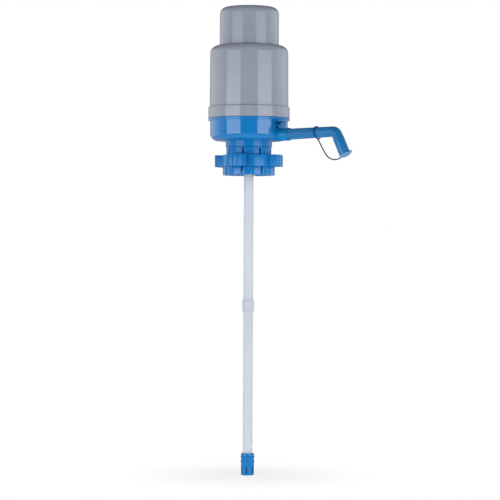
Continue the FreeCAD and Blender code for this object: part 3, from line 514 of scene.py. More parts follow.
def softBox(name, first, last, radiance, mirrored):  # a flat lamp between two directions from the camera's
    s = Sizes(studio)
    half = math.radians(last - first) / 2
    facing = Matrix.Rotation(math.radians((first + last) / 2), 3, "Z") @ toCamera
    width, height = 2 * s.boxDistance * math.sin(half) * mm, (s.boxHigh - s.boxLow) * mm
    data = bpy.data.lights.new(name, "AREA")
    data.shape = "RECTANGLE"
    data.size = width
    data.size_y = height
    data.energy = radiance * width * height * s.watts
    wires = emptyTree(data)
    up = wires.node("NewGeometry", output=5).part(1)
    glow = wires.node("Emission", None, {"Color": (1, 1, 1, 1), "Strength": 1 - up * s.boxFade})
    glow.close("Light")
    obj = newObject(name, data)
    obj.location = facing * (s.boxDistance * math.cos(half) * mm)
    obj.location.z += (s.boxLow + s.boxHigh) / 2 * mm
    obj.rotation_euler = facing.to_track_quat("Z", "Y").to_euler()
    obj.visible_camera = False
    obj.visible_glossy = mirrored


def rays(wires):  # whether the camera, a mirror or a clear piece sees this
    return [wires.node("LightPath", output=k) for k in (0, 3, 6)]


def makeStudio():
    s = Sizes(studio)
    bpy.context.scene.view_settings.view_transform = "Standard"
    for mirrored, share, ending in ((True, s.mirrorShare, ""), (False, 1 - s.mirrorShare, "Unseen")):
        softBox("boxRight" + ending, s.boxFrom, s.boxTo, s.boxRight * share, mirrored)
        softBox("boxLeft" + ending, -s.boxTo, -s.boxFrom, s.boxLeft * share, mirrored)
    low = newObject("bounce", bpy.data.lights.new("bounce", "AREA"))  # light back off the floor
    low.data.size = s.bounceSize * mm
    low.data.energy = s.bounce * low.data.size ** 2 * s.watts
    low.location = (0, 0, cadBox[0].z + mm)
    low.rotation_euler = (math.pi, 0, 0)
    low.visible_camera = low.visible_glossy = False
    world = bpy.data.worlds.new("studio")
    bpy.context.scene.world = world
    wires = emptyTree(world)
    way = wires.node("TexCoord", output=0)
    behind = way.along(-toCamera)
    upright = way.along((0, 0, 1))
    left = way.along(Vector((0, 0, -1)).cross(toCamera))
    tall = wires.maths("ABSOLUTE", upright) / (s.topNear - behind * s.topDrop)
    wallShape = behind.between(*s.nearEdges) * (1 - tall.between(*s.topEdges))
    wall = (s.wallNear + behind.between(*s.sideEdges) * (s.wallSide - s.wallNear)
            - behind.between(*s.backEdges) * (s.wallSide - s.wallBack)
            + left.between(*s.leftEdges) * behind.between(*s.leftBack) * s.wallLeft)
    soft = (1 - upright.between(*s.overheadEdges) * s.overhead) * s.ambient
    seen, mirrored, through = rays(wires)
    room = (1 - mirrored) * soft + mirrored * s.mirrorDark + wallShape * wall
    show = seen + through
    strength = show + (1 - show) * room
    wires.node("Background", None, {"Color": (1, 1, 1, 1), "Strength": strength}).close("World")


paper = {"radius": 1500, "sides": 72, "thick": 20, "gap": 0.05, "shade": 0.82, "mirrored": 0.3,
         "glow": 0.8, "glowFrom": 20, "glowTo": 200}


def makeFloor():
    p, low = Sizes(paper), cadBox[0].z / mm
    floor = prism("floor", circle((0, 0), p.radius, p.sides), low - p.thick, low - p.gap)
    material = bpy.data.materials.new("floorPaper")
    wires = emptyTree(material)
    far = wires.node("TexCoord", output=3).fromAxis()
    seen, mirrored, through = rays(wires)
    matt = wires.node("BsdfDiffuse", None, {"Color": (p.shade, p.shade, p.shade, 1)})
    glow = wires.node("Emission", None, {"Color": (1, 1, 1, 1),
                                         "Strength": 1 - mirrored * (1 - p.mirrored)})
    away = p.glow + far.between(p.glowFrom * mm, p.glowTo * mm) * (1 - p.glow)
    share = wires.maths("MINIMUM", seen * away + through * away + mirrored, 1)
    wires.node("MixShader", None, {0: share, 1: matt, 2: glow}).close("Material")
    floor.data.materials.append(material)


makeStudio()
makeFloor()
print("studio ready")

capTop = span("push_cap")[1]
cap = {"radius": 43.3, "wall": 2.2, "edge": 10, "dome": 0.6, "flange": 47.75, "flangeTop": 128.65,
       "flangeThick": 2.4, "flangeEdge": 0.3, "vents": 4, "ventsAt": 45, "ventWidth": 9, "ventHeight": 7,
       "ventRise": 2, "domeRings": 6, "sides": 160}


def makeCap():
    c = Sizes(cap)
    side = capTop - c.dome
    flat = c.radius - c.edge
    bore = c.radius - c.wall
    low, top = c.flangeTop - c.flangeThick, c.flangeTop
    centre = (flat, side - c.edge)
    rings = c.domeRings
    corners = [(flat * k / rings, capTop - c.dome * (k / rings) ** 2) for k in range(rings)]
    corners += arcPoints(centre, c.edge, 90, 0, steps=14)
    corners += [(c.radius, top), (c.flange, top, c.flangeEdge), (c.flange, low, c.flangeEdge), (bore, low)]
    corners += arcPoints(centre, c.edge - c.wall, 0, 90, steps=8)
    corners.append((0, side - c.wall))
    shell = turned("pressCap", corners, c.sides)
    half = c.ventWidth / 2
    ventLow = top + c.ventRise
    vent = box("vent", (bore - 1, c.radius + 1), (-half, half), (ventLow, ventLow + c.ventHeight))
    combine(shell, copiesAround(vent, c.vents, c.ventsAt), "DIFFERENCE")
    finished(shell, grey, "push_cap", "press_cap")


makeCap()

barrelTop = span("barrel")[1]
# the joint's painted shade lies between two depths below the barrel's top
barrel = {"opening": 43.65, "top": 57.05, "foot": 57.65, "wall": 2.4, "edge": 11, "guide": 45.65,
          "guideLength": 20, "openingEdge": 1.0, "innerEdge": 8.4, "band": 59.55, "bandBore": 56.95,
          "bandHeight": 16.3, "bandEdge": 1.1, "footEdge": 0.8, "groove": 0.5, "grooveEdge": 0.15, "lap": 14,
          "lugs": 4, "lugsAt": 45, "lugReach": 58.2, "lugAngle": 8, "lugRise": 7, "lugHeight": 3,
          "lugFit": 0.2, "lugPlay": 1, "shadeFrom": 1.3, "shadeTo": 0.6, "sides": 176}


def makeBarrel():
    b = Sizes(barrel)
    low = span("barrel")[0]
    bandTop = low + b.bandHeight
    inside, under = b.top - b.wall, barrelTop - b.wall
    guideEnd = barrelTop - b.guideLength
    neck = b.foot - b.groove
    shell = turned("barrelShell", [
        (b.bandBore, low), (b.band, low, b.footEdge), (b.band, bandTop, b.bandEdge), (neck, bandTop),
        (neck, bandTop + b.groove), (b.foot, bandTop + b.groove, b.grooveEdge), (b.top, barrelTop, b.edge),
        (b.opening, barrelTop, b.openingEdge), (b.opening, guideEnd), (b.guide, guideEnd), (b.guide, under),
        (inside, under, b.innerEdge), (inside + b.foot - b.top, low + b.lap),
        (b.bandBore, low + b.lap)], b.sides, steps=12)
    slot = b.lugAngle + b.lugPlay  # a bayonet slot: in from below, then round to the right
    lugLow = low + b.lugRise - b.lugFit
    lugHigh = lugLow + b.lugHeight + 2 * b.lugFit
    entry = sector("entry", b.bandBore - 1, b.lugReach, -3 * slot, -slot, low - 1, lugHigh - 0.1)
    run = sector("run", b.bandBore - 1, b.lugReach + 0.01, -3 * slot, slot, lugLow, lugHigh)
    combine(shell, copiesAround(entry, b.lugs, b.lugsAt) + copiesAround(run, b.lugs, b.lugsAt), "DIFFERENCE")
    finished(shell, barrelGrey, "barrel")


def jointPaintedShade(place):  # painted shade in the narrow joint round the cap, in place of the gap's shadow
    return place.part(2).between((barrelTop - barrel["shadeFrom"]) * mm, (barrelTop - barrel["shadeTo"]) * mm)


barrelGrey = ("grey_gloss", gloss("barrelGrey", greyLook, jointPaintedShade))
makeBarrel()
print("cap and barrel ready")

bowl = {"radius": 56.85, "wall": 2.4, "corner": 10.5, "low": 10.2, "rim": 57.3, "neck": 34, "neckWall": 2.5,
        "neckEdge": 0.8, "seam": 1.0, "seamEdge": 0.35, "lip": 59.55, "lipLow": 39.55, "lipHigh": 43.05,
        "lipEdge": 0.7, "lipRoot": 0.25, "rimEdge": 0.6, "ledge": 31.4, "ledgeBore": 51.0, "ledgeThick": 2,
        "ledgeSlope": 3.45, "pocket": 9.4, "cup": 27.9, "cupWall": 2.4,
        "webBore": 20, "webLow": 2, "webThick": 2.4, "hub": 9.05, "hubWall": 2.4, "hubHeight": 6,
        "spokes": 4, "spokesAt": 45, "spoke": 3, "spokeTall": 4, "spoutAt": 17.9, "boss": 9.3,
        "bossReach": 74.1, "bossEdge": 0.9, "bossSunk": 0.5, "bossBore": 8.1, "rootAt": 49.5,
        "rootGap": 0.3, "duct": 5.3,
        "latchFrom": -11, "latchTo": 15, "latchLow": 31.5, "latchTall": 5.6, "latchDepth": 1.2,
        "catchFrom": 1.5, "catchTo": 14, "catchLow": 32.0, "catchTall": 3.4, "catchProud": 1.1,
        "keyFrom": -10.5, "keyTo": -3.5, "keyLow": 26.5, "keyTall": 3.4, "keyDepth": 2,
        "lugs": 4, "lugsAt": 45, "lugAngle": 8, "lugLow": 50.3, "lugTall": 3, "lugDepth": 1.15, "sides": 176}


def makeBase():
    b = Sizes(bowl)
    r, bore = b.radius, b.radius - b.wall
    floor = b.low + b.wall
    cupBore = b.cup - b.cupWall
    neckBore = b.neck - b.neckWall
    webTop = b.webLow + b.webThick
    ledgeLow = b.ledge - b.ledgeThick
    shell = turned("baseBowl", [
        (b.neck, b.seam, b.seamEdge), (b.neck, b.low, b.neckEdge), (r, b.low, b.corner),
        (r, b.lipLow, b.lipRoot), (b.lip, b.lipLow, b.lipEdge), (b.lip, b.lipHigh, b.lipEdge),
        (r, b.lipHigh), (r, b.rim, b.rimEdge), (bore, b.rim), (bore, b.ledge), (b.ledgeBore, b.ledge),
        (b.ledgeBore, ledgeLow), (bore, ledgeLow - b.ledgeSlope), (bore, floor, b.corner - b.wall),
        (cupBore, floor), (cupBore, webTop), (b.webBore, webTop), (b.webBore, b.webLow), (b.cup, b.webLow),
        (b.cup, b.pocket), (neckBore, b.pocket), (neckBore, b.seam)], b.sides, steps=9)

    toX = Matrix.Translation((0, 0, b.spoutAt * mm)) @ Matrix.Rotation(math.radians(90), 4, "Y")

    def bar(name, radius, near, far, edge=0):  # a round bar on the spout's axis
        return turned(name, tubular(0, radius, near, far, (0, 0, edge, 0)), 72, 5, toX)

    bossRoot = r - b.corner - b.bossSunk
    boss = bar("boss", b.boss, bossRoot, b.bossReach, b.bossEdge)
    hub = turned("hub", tubular(b.hub, b.hub + b.hubWall, b.webLow, b.webLow + b.hubHeight), sides=72)
    spoke = box("spoke", (b.hub + 1, b.webBore + 1), (-b.spoke / 2, b.spoke / 2),
                (b.webLow + 0.01, b.webLow + b.spokeTall))
    lug = sector("lug", r - 1, r + b.lugDepth, -b.lugAngle, b.lugAngle, b.lugLow, b.lugLow + b.lugTall)
    combine(shell, [boss, hub] + copiesAround(spoke, b.spokes, b.spokesAt)
            + copiesAround(lug, b.lugs, b.lugsAt), "UNION")

    latchFloor = r - b.latchDepth
    bossBore = bar("bossBore", b.bossBore, b.rootAt - b.rootGap, b.bossReach + 1)
    ductBore = bar("ductBore", b.duct, bossRoot - 1, b.rootAt + 1)
    window = sector("window", latchFloor, r + 2, b.latchFrom, b.latchTo,
                    b.latchLow, b.latchLow + b.latchTall)
    key = sector("key", r - b.keyDepth, r + 2, b.keyFrom, b.keyTo, b.keyLow, b.keyLow + b.keyTall)
    combine(shell, [bossBore, ductBore, window, key], "DIFFERENCE")
    catch = sector("catch", latchFloor - 0.2, latchFloor + b.catchProud, b.catchFrom, b.catchTo,
                   b.catchLow, b.catchLow + b.catchTall)
    combine(shell, [catch], "UNION")
    finished(shell, bowlBlue, "base_housing")


# sizes of the painted shade in and round the latch
latchShadeSizes = {"deepFrom": 0.8, "deepTo": 0.2, "above": 0.5, "fade": 0.2, "ahead": (53.2, 54.8), "aside": (-9, -1),
         "heights": (14, 28, 39.3, 39.5), "share": 0.5}


def latchPaintedShade(place):  # painted shade on the floors of the latch, and painted shade round it towards the boss
    g, b = Sizes(latchShadeSizes), Sizes(bowl)
    level = place.part(2)
    out = place.fromAxis()
    inside = 1 - out.between((b.radius - g.deepFrom) * mm, (b.radius - g.deepTo) * mm)
    top = b.latchLow + b.latchTall + g.above
    recess = inside * level.within(b.keyLow - g.fade, b.keyLow, top, top + g.above)
    aheadFrom, aheadTo = (x * mm for x in g.ahead)
    asideFrom, asideTo = (y * mm for y in g.aside)
    around = (place.part(0).between(aheadFrom, aheadTo) * (1 - place.part(1).between(asideFrom, asideTo))
              * level.within(*g.heights))
    return place.maths("MAXIMUM", recess, around * g.share)


bowlBlue = ("blue_gloss", gloss("bowlBlue", bowlLook, latchPaintedShade))
makeBase()
print("base ready")

collet = {"top": 9.0, "shoulder": 0.6, "spigot": 31.4, "collar": 33, "bore": 28.2, "slotTop": -0.8,
          "slot": 2.8, "fingers": 8, "finger": 31.2, "pad": 32.4, "padTop": -11.5, "padAngle": 7,
          "crown": 27.75, "ribs": (-9.7, -15.2, -20.7), "ribGap": 0.4, "ribTall": 3.4,
          "hook": 26.2, "hookLow": -27, "low": -40, "lead": 4.2, "foot": 38.1, "footTop": -28.1,
          "groove": 1.6, "grooveDepth": 1.0, "coreIn": 32.8, "coreOut": 36.1, "coreDepth": 8,
          "coreFrom": 2.6, "coreTo": 17.8, "padSteps": (4.8,), "footSteps": (9.5, 12, 15), "edge": 0.3}


def colletFinger(groove, core, onPad):  # a finger's radial section below the slots' top
    c = Sizes(collet)
    points = []
    for top in c.ribs:
        points += [(c.bore, top), (c.crown, top - c.ribGap), (c.crown, top - c.ribGap - c.ribTall),
                   (c.bore, top - 2 * c.ribGap - c.ribTall)]
    pad = c.pad if onPad else c.finger
    deep = c.low + (c.coreDepth if core else 0)
    rim = c.foot - (c.grooveDepth if groove else 0)
    return points[:-1] + [
        (c.hook, c.hookLow), (c.hook, c.low + c.lead), (c.hook + c.lead, c.low), (c.coreIn, c.low),
        (c.coreIn, deep), (c.coreOut, deep), (c.coreOut, c.low), (rim, c.low), (rim, c.footTop),
        (pad, c.footTop), (pad, c.padTop), (c.finger, c.padTop), (c.collar, c.padTop)]


def makeCollet():  # columns of points round the axis, joined by faces, with the collar alone between fingers
    c = Sizes(collet)
    pitch = 360 / c.fingers

    def slotAngle(radius):  # half a slot's angle, which grows inwards because its walls are parallel
        return math.degrees(math.asin(c.slot / 2 / radius))

    collar = [(c.collar, c.slotTop), (c.collar, c.shoulder), (c.spigot, c.shoulder),
              (c.spigot, c.top), (c.bore, c.top), (c.bore, c.slotTop)]
    grooveAngle = math.degrees(c.groove / 2 / c.foot)
    edgeAngle = pitch / 2 - slotAngle(c.foot)
    grooved, padded, both = (True, False, True), (False, False, True), (False, True, True)
    cored, flat = (False, True, False), (False, False, False)
    half = [(0, grooved), (grooveAngle, grooved), (grooveAngle, padded), (c.coreFrom, padded)]
    half += [(a, both) for a in (c.coreFrom, *c.padSteps, c.padAngle)]
    half += [(a, cored) for a in (c.padAngle, *c.footSteps, c.coreTo)]
    half += [(c.coreTo, flat), (edgeAngle, flat)]
    columns = []
    for i in range(c.fingers):
        for angle, kind in [(-a, kind) for a, kind in half[:0:-1]] + half:
            share = angle / edgeAngle
            columns.append([[polar(r, i * pitch + share * (pitch / 2 - slotAngle(r)), z)
                             for r, z in section] for section in (collar, colletFinger(*kind))])
        for across in (-0.5, 0, 0.5):
            columns.append([[polar(r, i * pitch + pitch / 2 + across * slotAngle(r), z)
                             for r, z in collar], []])
    points, faces, starts = [], [], []
    for above, below in columns:
        starts.append(len(points))
        points += above + below
    last = len(collar) - 1

    def fingerLoop(k):
        return [starts[k] + last + j for j in range(len(columns[k][1]) + 1)] + [starts[k]]

    for k, (_, below) in enumerate(columns):
        n = (k + 1) % len(columns)
        a, b = starts[k], starts[n]
        faces += [(a + j, a + j + 1, b + j + 1, b + j) for j in range(last)]
        if below and columns[n][1]:
            one, two = fingerLoop(k), fingerLoop(n)
            faces += [(one[j], one[j + 1], two[j + 1], two[j]) for j in range(len(one) - 1)]
            continue
        faces.append((a, a + last, b + last, b))
        if below or columns[n][1]:
            faces.append(tuple(fingerLoop(k if below else n)))
    body = soften(build("neckCollet", points, faces), c.edge, above=55)
    finished(body, colletBlue, "neck_collet")


makeCollet()

ring = {"low": -27.8, "high": -10.6, "bore": 34.6, "radius": 38.5, "lobes": 4, "lobe": 50.3,
        "lobeAngle": 17.5, "lobeTurn": 14, "lobeWall": 2.2, "lobeEdge": 1.6, "grooveAngle": 4.6,
        "grooveWidth": 1.2, "grooveDepth": 0.9, "faceSteps": ((-12, -9, -7), (-2, 0, 2), (7, 9, 12)),
        "cam": 32.6, "camAngle": 7, "rampAngle": 5, "boreAngle": 17, "camTop": -11.5, "cams": 8,
        "edge": 0.35}


def ringOutline():  # four lobes with rounded corners and two grip grooves each
    r = Sizes(ring)
    lobe, side, pitch = r.lobe, r.lobeAngle, 360 / r.lobes
    edge = math.degrees(r.lobeEdge / lobe) * 1.2  # where a lobe's rounded corner ends, with some room
    half = math.degrees(r.grooveWidth / 2 / lobe)
    deep = lobe - r.grooveDepth
    before, amid, after = r.faceSteps
    groove = ((lobe, -half), (deep, -half), (deep, half), (lobe, half))
    points = []
    for k in range(r.lobes):
        middle = r.lobeTurn + pitch * k
        points += arcPoints((0, 0), r.radius, middle - pitch + side + 1, middle - side - 1, steps=24)
        shape = rounded([(*polar(radius, middle + a)[:2], fillet) for radius, a, fillet in (
            (r.radius, -side, 0), (lobe, -side, r.lobeEdge), (lobe, side, r.lobeEdge),
            (r.radius, side, 0))], steps=5)
        face = [polar(lobe, middle + a) for a in (-side + edge, *before)]
        for way, steps in ((-1, amid), (1, after)):
            face += [polar(radius, middle + way * r.grooveAngle + a) for radius, a in groove]
            face += [polar(lobe, middle + a) for a in steps]
        face.append(polar(lobe, middle + side - edge))
        points += shape[:len(shape) // 2] + face + shape[len(shape) // 2:]
    return points


def camOutline():  # the ring's bore with its cams
    r = Sizes(ring)
    pitch, top, bore = 360 / r.cams, r.camAngle, r.boreAngle
    foot = top + r.rampAngle
    shape = [(r.cam, a) for a in (-top, -top / 2, 0, top / 2, top)]
    shape += [(r.bore, a) for a in (foot, bore, pitch / 2, pitch - bore, pitch - foot)]
    return [polar(radius, pitch * k + a) for k in range(r.cams) for radius, a in shape]


def makeRing():
    r = Sizes(ring)
    low, high, wall = r.low, r.high, r.lobeWall
    body = prism("gripRing", ringOutline(), low, high)
    hole = prism("hole", camOutline(), low - 1, high + 1)
    top = prism("top", circle((0, 0), r.bore + 0.02, sides=120), r.camTop, high + 1)
    side = r.lobeAngle - math.degrees(wall / r.radius)
    pocket = sector("pocket", r.radius + wall, r.lobe - wall, -side, side, low - 1, high - wall)
    combine(body, [hole, top] + copiesAround(pocket, r.lobes, r.lobeTurn), "DIFFERENCE")
    finished(soften(body, r.edge), gripBlue, "lock_ring", "turn_ring")


makeRing()

gasket = {"radius": 27.6, "bore": 20.5, "thick": 2.0, "edges": (0.5, 0.5, 0.3, 0.3)}
seat = tubular(gasket["bore"], gasket["radius"], 0, gasket["thick"], gasket["edges"])
finished(turned("rimGasket", seat), silicone, "neck_gasket")
print("collet, ring and gasket ready")

spout = {"root": 49.5, "z": 17.9, "kink": 75.1, "arm": 8.0, "armEnd": 7.4, "bore": 6.0, "rise": 1.0,
         "riseRadius": 100, "corner": 155, "bend": 7.9, "nozzle": 8.0, "tilt": 26.4, "length": 36.4,
         "taper": 7.0, "lip": 0.35, "lipShare": 0.3, "lead": 0.3, "flare": 0.2,
         "sealAt": 65.2, "sealHalf": 0.85, "sealDeep": 0.9}

rise = math.radians(spout["rise"])
tilt = math.radians(spout["tilt"])
armWay = heading(rise)
nozzleWay = Vector((math.sin(tilt), -math.cos(tilt)))
cornerAt = Vector((spout["corner"], spout["z"] + (spout["corner"] - spout["kink"]) * math.tan(rise)))
tipAt = cornerAt + nozzleWay * spout["length"]


def spoutStations(radius, endRadius, nozzleRadius, groove):  # root, slight bend, arm, corner and nozzle
    s = Sizes(spout)
    rings = [(s.root, radius)]
    if groove:
        a, b = s.sealAt - s.sealHalf, s.sealAt + s.sealHalf
        deep = radius - s.sealDeep
        rings += [(a, radius), (a + 0.01, deep), (b - 0.01, deep), (b, radius)]
    stations = [(Vector((x, s.z)), Vector((1, 0)), r) for x, r in rings]
    kink = Vector((s.kink, s.z))
    reach = s.riseRadius * math.tan(rise / 2)
    centre = Vector((kink.x - reach, kink.y + s.riseRadius))
    for t in shares(4, first=0):
        way = heading(rise * t)
        stations.append((centre - leftOf(way) * s.riseRadius, way, radius))
    start = kink + armWay * reach
    turn = math.pi / 2 - tilt + rise
    elbow = cornerAt - armWay * (s.bend * math.tan(turn / 2))
    for t in shares(8):
        stations.append((start.lerp(elbow, t), armWay, radius + (endRadius - radius) * t))
    centre = elbow - leftOf(armWay) * s.bend
    for t in shares(16):
        way = heading(rise - turn * t)
        stations.append((centre + leftOf(way) * s.bend, way, endRadius))
    end = stations[-1][0]
    for t in shares(4):
        stations.append((end + nozzleWay * (s.taper * t), nozzleWay,
                         endRadius + (nozzleRadius - endRadius) * t))
    return stations


def makeSpout():
    s = Sizes(spout)
    bore, nozzle, lip = s.bore, s.nozzle, s.lip
    near = lip * s.lipShare
    outer = spoutStations(s.arm, s.armEnd, nozzle, True)
    outer += [(tipAt - nozzleWay * lip, nozzleWay, nozzle),
              (tipAt - nozzleWay * near, nozzleWay, nozzle - near),
              (tipAt, nozzleWay, nozzle - lip)]
    inner = spoutStations(bore, bore, bore, False)
    inner += [(tipAt - nozzleWay * s.lead, nozzleWay, bore), (tipAt, nozzleWay, bore + s.flare)]
    finished(pipe("spoutPipe", outer + inner[::-1], sides=64, closed=True), spoutBlue, "spout")


makeSpout()

plug = {"radius": 5.85, "wall": 1.2, "length": 6, "floor": 1.0, "gap": 0.05, "flange": 8.6,
        "flangeThick": 1.8, "flangeEdge": 1.2, "underEdge": 0.4, "tabFrom": 4, "tabReach": 12.1,
        "tabWidth": 8, "tabThick": 1.4, "tabThinner": 0.25, "tabCurl": 1.6, "tabEnd": 3.2, "tabSink": 0.05,
        "tabEdge": 0.3, "tabFlat": 0.45, "tabLeast": 0.02, "floorEdge": 0.4, "footEdge": 0.5,
        "lugWidth": 3, "lugReach": 1.2, "lugInset": 0.4, "lugEdge": 0.35}


def nozzleFrame():  # +Z leaves the nozzle and +X faces the bottle
    return Matrix.Translation(Vector((tipAt.x, 0, tipAt.y)) * mm) @ Matrix.Rotation(math.pi - tilt, 4, "Y")


def plugTab(high, rows=12):  # a tongue that narrows, thins and curls towards its end
    p = Sizes(plug)
    across = (-1, -p.tabFlat, p.tabFlat, 1)
    points, faces = [], []
    for k in range(rows + 1):
        x = p.tabFrom + (p.tabReach - p.tabFrom) * k / rows
        curl = p.tabCurl * max(0, (x - p.flange) / (p.tabReach - p.flange)) ** 2
        over = max(0, x - p.tabReach + p.tabEnd) / p.tabEnd
        half = p.tabWidth / 2 * math.sqrt(max(p.tabLeast, 1 - over * over))
        thin = p.tabThick * (1 - p.tabThinner * k / rows)
        for z, sides in ((high, across), (high - thin, across[::-1])):
            points += [(-x, side * half, z - curl - p.tabSink) for side in sides]
    for k in range(rows):
        for j in range(8):
            n = (j + 1) % 8
            faces.append((k * 8 + j, k * 8 + n, k * 8 + 8 + n, k * 8 + 8 + j))
    faces += [tuple(range(8)), tuple(range(rows * 8, rows * 8 + 8))]
    return soften(build("tab", points, faces), p.tabEdge, above=40)


def makePlug():
    p = Sizes(plug)
    low, high = p.gap, p.gap + p.flangeThick
    bore, floor, half = p.radius - p.wall, low + p.floor, p.lugWidth / 2
    body = turned("spoutPlug", [
        (0, floor), (bore, floor, p.floorEdge), (bore, -p.length), (p.radius, -p.length, p.footEdge),
        (p.radius, low), (p.flange, low, p.underEdge), (p.flange, high, p.flangeEdge), (0, high)], sides=72)
    tab = plugTab(high)
    lug = soften(box("lug", (p.flange - 1, p.flange + p.lugReach), (-half, half),
                     (low + p.lugInset, high - p.lugInset)), p.lugEdge)
    combine(body, [tab, lug], "UNION")
    body.data.transform(nozzleFrame())
    finished(body, plugBlue, "spout_cap", "plug")


makePlug()

tether = {"place": 123, "lean": 10, "wire": 0.85, "loop": 8.88, "drop": 0.2, "knot": 1.5, "strap": 0.9,
          "startAngle": -62, "share": 0.7, "sunk": 0.3}

lean = math.radians(tether["lean"])
armAtLoop = spout["z"] + (tether["place"] - spout["kink"]) * math.tan(rise)
loopAt = Vector((tether["place"], armAtLoop - tether["drop"]))
knotAt = loopAt + Vector((math.sin(lean), -math.cos(lean))) * (tether["loop"] + tether["wire"])


def makeLoop():
    t = Sizes(tether)
    toArm = Matrix.Translation(Vector((loopAt.x, 0, loopAt.y)) * mm)
    section = circle((t.loop, 0), t.wire, sides=16)
    loop = turned("tetherLoop", section, 72, 1, toArm @ Matrix.Rotation(math.pi / 2 - lean, 4, "Y"))
    ball = arcPoints((0, 0), t.knot, -90, 90, steps=12)
    knot = turned("knot", ball, 24, 1, Matrix.Translation(Vector((knotAt.x, 0, knotAt.y)) * mm))
    combine(loop, [knot], "UNION")
    finished(loop, tetherBlue, "tether_ring")


makeLoop()


def tangentArc(start, way, end, steps):  # points and directions of the arc that leaves start along way
    chord = end - start
    half = way.angle_signed(chord)
    if abs(half) < 1e-6:
        return [(start.lerp(end, k / steps), way) for k in range(steps + 1)]
    centre = start - leftOf(way) * (chord.length / 2 / math.sin(half))
    turns = [-2 * half * k / steps for k in range(steps + 1)]
    return [(centre + spun(start - centre, a), spun(way, a)) for a in turns]


def makeStrap():  # two tangent arcs from the loop's knot to the plug's lug
    t = Sizes(tether)
    start = math.radians(t.startAngle)
    first, last = heading(start), heading(tilt)
    lugEnd = nozzleFrame() @ Vector(((plug["flange"] + plug["lugReach"]) * mm, 0,
                                     (plug["gap"] + plug["flangeThick"] / 2) * mm))
    p0 = knotAt + first * t.knot
    p1 = Vector((lugEnd.x, lugEnd.z)) / mm
    chord, share = p1 - p0, t.share  # the first arc's tangent is share of the second's
    square = 2 * share * (first.dot(last) - 1)
    straight = chord.dot(last) + share * chord.dot(first)
    reach = (straight - math.sqrt(straight * straight - square * chord.dot(chord))) / square
    before, after = p0 + first * (share * reach), p1 - last * reach
    joint = (before + after * share) / (1 + share)
    path = tangentArc(p0, first, joint, 20)[:-1] + tangentArc(joint, (after - before).normalized(), p1, 24)
    path[0] = (p0 - first * t.sunk, first)
    path[-1] = (p1 + last * t.sunk, last)
    strap = pipe("tetherBand", [(at, way, t.strap) for at, way in path], sides=20)
    finished(strap, strapBlue, "tether_strap", None)
    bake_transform(strap)


makeStrap()
print("spout, plug and tether ready")

tube = {"radius": 7.0, "bore": 6.0, "edges": (0.15, 0.2, 0.2, 0.15)}
sleeve = {"bore": 7.05, "radius": 8.75, "edges": (0.2, 0.6, 0.6, 0.2)}
strainer = {"radius": 9.5, "bore": 7.05, "edge": 1.2, "ridges": (11.9, 4.9), "ridge": 0.9, "ridgeHalf": 1.05,
            "ridgeTop": 0.6, "ridgeEdge": 0.3, "ridgeRoot": 0.2, "socket": 14, "floor": 2,
            "slots": 6, "slot": 2.4, "slotTall": 10, "slotRise": 3, "slotEdge": 0.5}


def makeTube(name, node):
    low, high = span(node)
    profile = tubular(tube["bore"], tube["radius"], low, high, tube["edges"])
    finished(turned(name, profile, sides=64, steps=3), tubeMilky, node)


def makeSleeve():
    low, high = span("tube_coupling")
    upperEnd, lowerEnd = span("tube_upper")[0], span("tube_lower")[1]
    bore = sleeve["bore"]
    profile = tubular(bore, sleeve["radius"], low, high, sleeve["edges"])
    profile += [(bore, upperEnd), (tube["bore"], upperEnd), (tube["bore"], lowerEnd), (bore, lowerEnd)]
    finished(turned("tubeSleeve", profile, sides=64, steps=4), tubeMilky, "tube_coupling")


def makeStrainer():
    s = Sizes(strainer)
    low, high = span("strainer")
    r, ridge, half = s.radius, s.radius + s.ridge, s.slot / 2
    corners = [(0, low), (r, low, s.edge)]
    for drop in s.ridges:
        z = high - drop
        corners += [(r, z - s.ridgeHalf, s.ridgeRoot), (ridge, z - s.ridgeTop, s.ridgeEdge),
                    (ridge, z + s.ridgeTop, s.ridgeEdge), (r, z + s.ridgeHalf, s.ridgeRoot)]
    tubeEnd, floor = high - s.socket, low + s.floor
    corners += [(r, high, s.edge), (s.bore, high), (s.bore, tubeEnd), (tube["bore"], tubeEnd),
                (tube["bore"], floor), (0, floor)]
    body = turned("footStrainer", corners, sides=96, steps=4)
    slotLow = low + s.slotRise
    slot = soften(box("slot", (tube["bore"] - 2, r + 1), (-half, half), (slotLow, slotLow + s.slotTall)),
                  s.slotEdge, segments=3)
    notch = box("notch", (1, r + 1), (-half, half), (low - 1, low + 1))
    combine(body, copiesAround(slot, s.slots) + copiesAround(notch, s.slots, 180 / s.slots),
            "DIFFERENCE")
    finished(body, blue, "strainer")


makeTube("dipTubeUpper", "tube_upper")
makeTube("dipTubeLower", "tube_lower")
makeSleeve()
makeStrainer()
print("tube ready")

elbow = {"socketLow": -14, "socket": 9.0, "tubeBore": 7.05, "socketTop": 4.0, "hubTop": 8.0, "collar": 2.3,
         "collarTop": 9.3, "edge": 0.3, "lead": 1.2, "duct": 5.2, "ductBore": 3.8, "bend": 8.0,
         "ductEnd": 61.5}


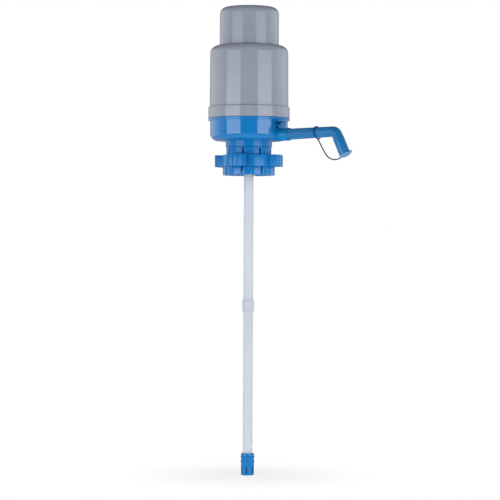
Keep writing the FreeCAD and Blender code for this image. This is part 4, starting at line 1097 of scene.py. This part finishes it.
def makeElbow():
    e = Sizes(elbow)
    turnAt = spout["z"] - e.bend
    collar = e.socket + e.collar
    leg = turned("waterElbow", [
        (e.tubeBore + e.lead, e.socketLow), (e.socket, e.socketLow, e.edge), (e.socket, e.hubTop),
        (collar, e.hubTop), (collar, e.collarTop), (e.duct, turnAt), (e.ductBore, turnAt),
        (e.ductBore, e.socketTop), (e.tubeBore, e.socketTop), (e.tubeBore, e.socketLow + e.lead)], sides=72)
    path = []
    for t in shares(12, first=0):
        way = heading(math.pi / 2 * (1 - t))
        path.append((Vector((e.bend, turnAt)) + leftOf(way) * e.bend, way))
    path.append((Vector((e.ductEnd, spout["z"])), Vector((1, 0))))
    outer, inner = ([(at, way, radius) for at, way in path] for radius in (e.duct, e.ductBore))
    combine(leg, [pipe("duct", outer + inner[::-1], sides=48, closed=True)], "UNION")
    finished(leg, elbowGrey, "outlet_elbow")


makeElbow()

folds = {"peak": 39.9, "root": 31.3, "wall": 2.0, "count": 10, "collar": 7.0, "flange": 1.6,
         "footRadius": 44.5, "topCollar": 33.7, "topBore": 23.2, "foldEdge": 0.9, "innerEdge": 0.5,
         "collarEdge": 0.8, "flangeEdge": 0.3, "stroke": 48}


def makeBellows():
    low, high = span("bellows")
    f = Sizes(folds)
    first = low + f.collar
    last = high - f.collar - f.flange
    half = (last - first) / f.count / 2
    foot, top = f.root + f.wall, f.topCollar + f.wall
    outside, inside = [], []
    for i in range(f.count):
        z = first + (2 * i + 1) * half
        outside += [(f.peak, z, f.foldEdge), (foot, z + half, f.foldEdge)]
        inside += [(f.peak - f.wall, z, f.innerEdge), (f.root, z + half, f.foldEdge)]
    corners = [(f.root, low), (f.footRadius, low), (f.footRadius, low + f.flange, f.flangeEdge),
               (foot, low + f.flange, f.innerEdge), (foot, first, f.collarEdge)] + outside[:-1]
    corners += [(top, last, f.collarEdge), (top, high), (f.topBore, high), (f.topBore, high - f.flange),
                (f.topCollar, high - f.flange), (f.topCollar, last, f.collarEdge)]
    corners += inside[-2::-1] + [(f.root, first, f.collarEdge)]
    body = turned("airBellows", corners, sides=96, steps=3)
    finished(body, foldBlue, "bellows")
    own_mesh(body)


makeBellows()

plainNodes = (
    (sealBlack, "elbow_seal", "spout_seal", "plate_seal"),
    (innerWhite, "valve_plate", "bellows_ring", "head_plate", "head_ring"),
    (silicone, "discharge_valve", "intake_valve"),
    (steel, "discharge_retainer", "intake_retainer", "plate_screws", "head_screws"))
for finish, *nodeNames in plainNodes:
    for nodeName in nodeNames:
        paint(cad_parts[nodeName], finish)
print("inner pieces ready")
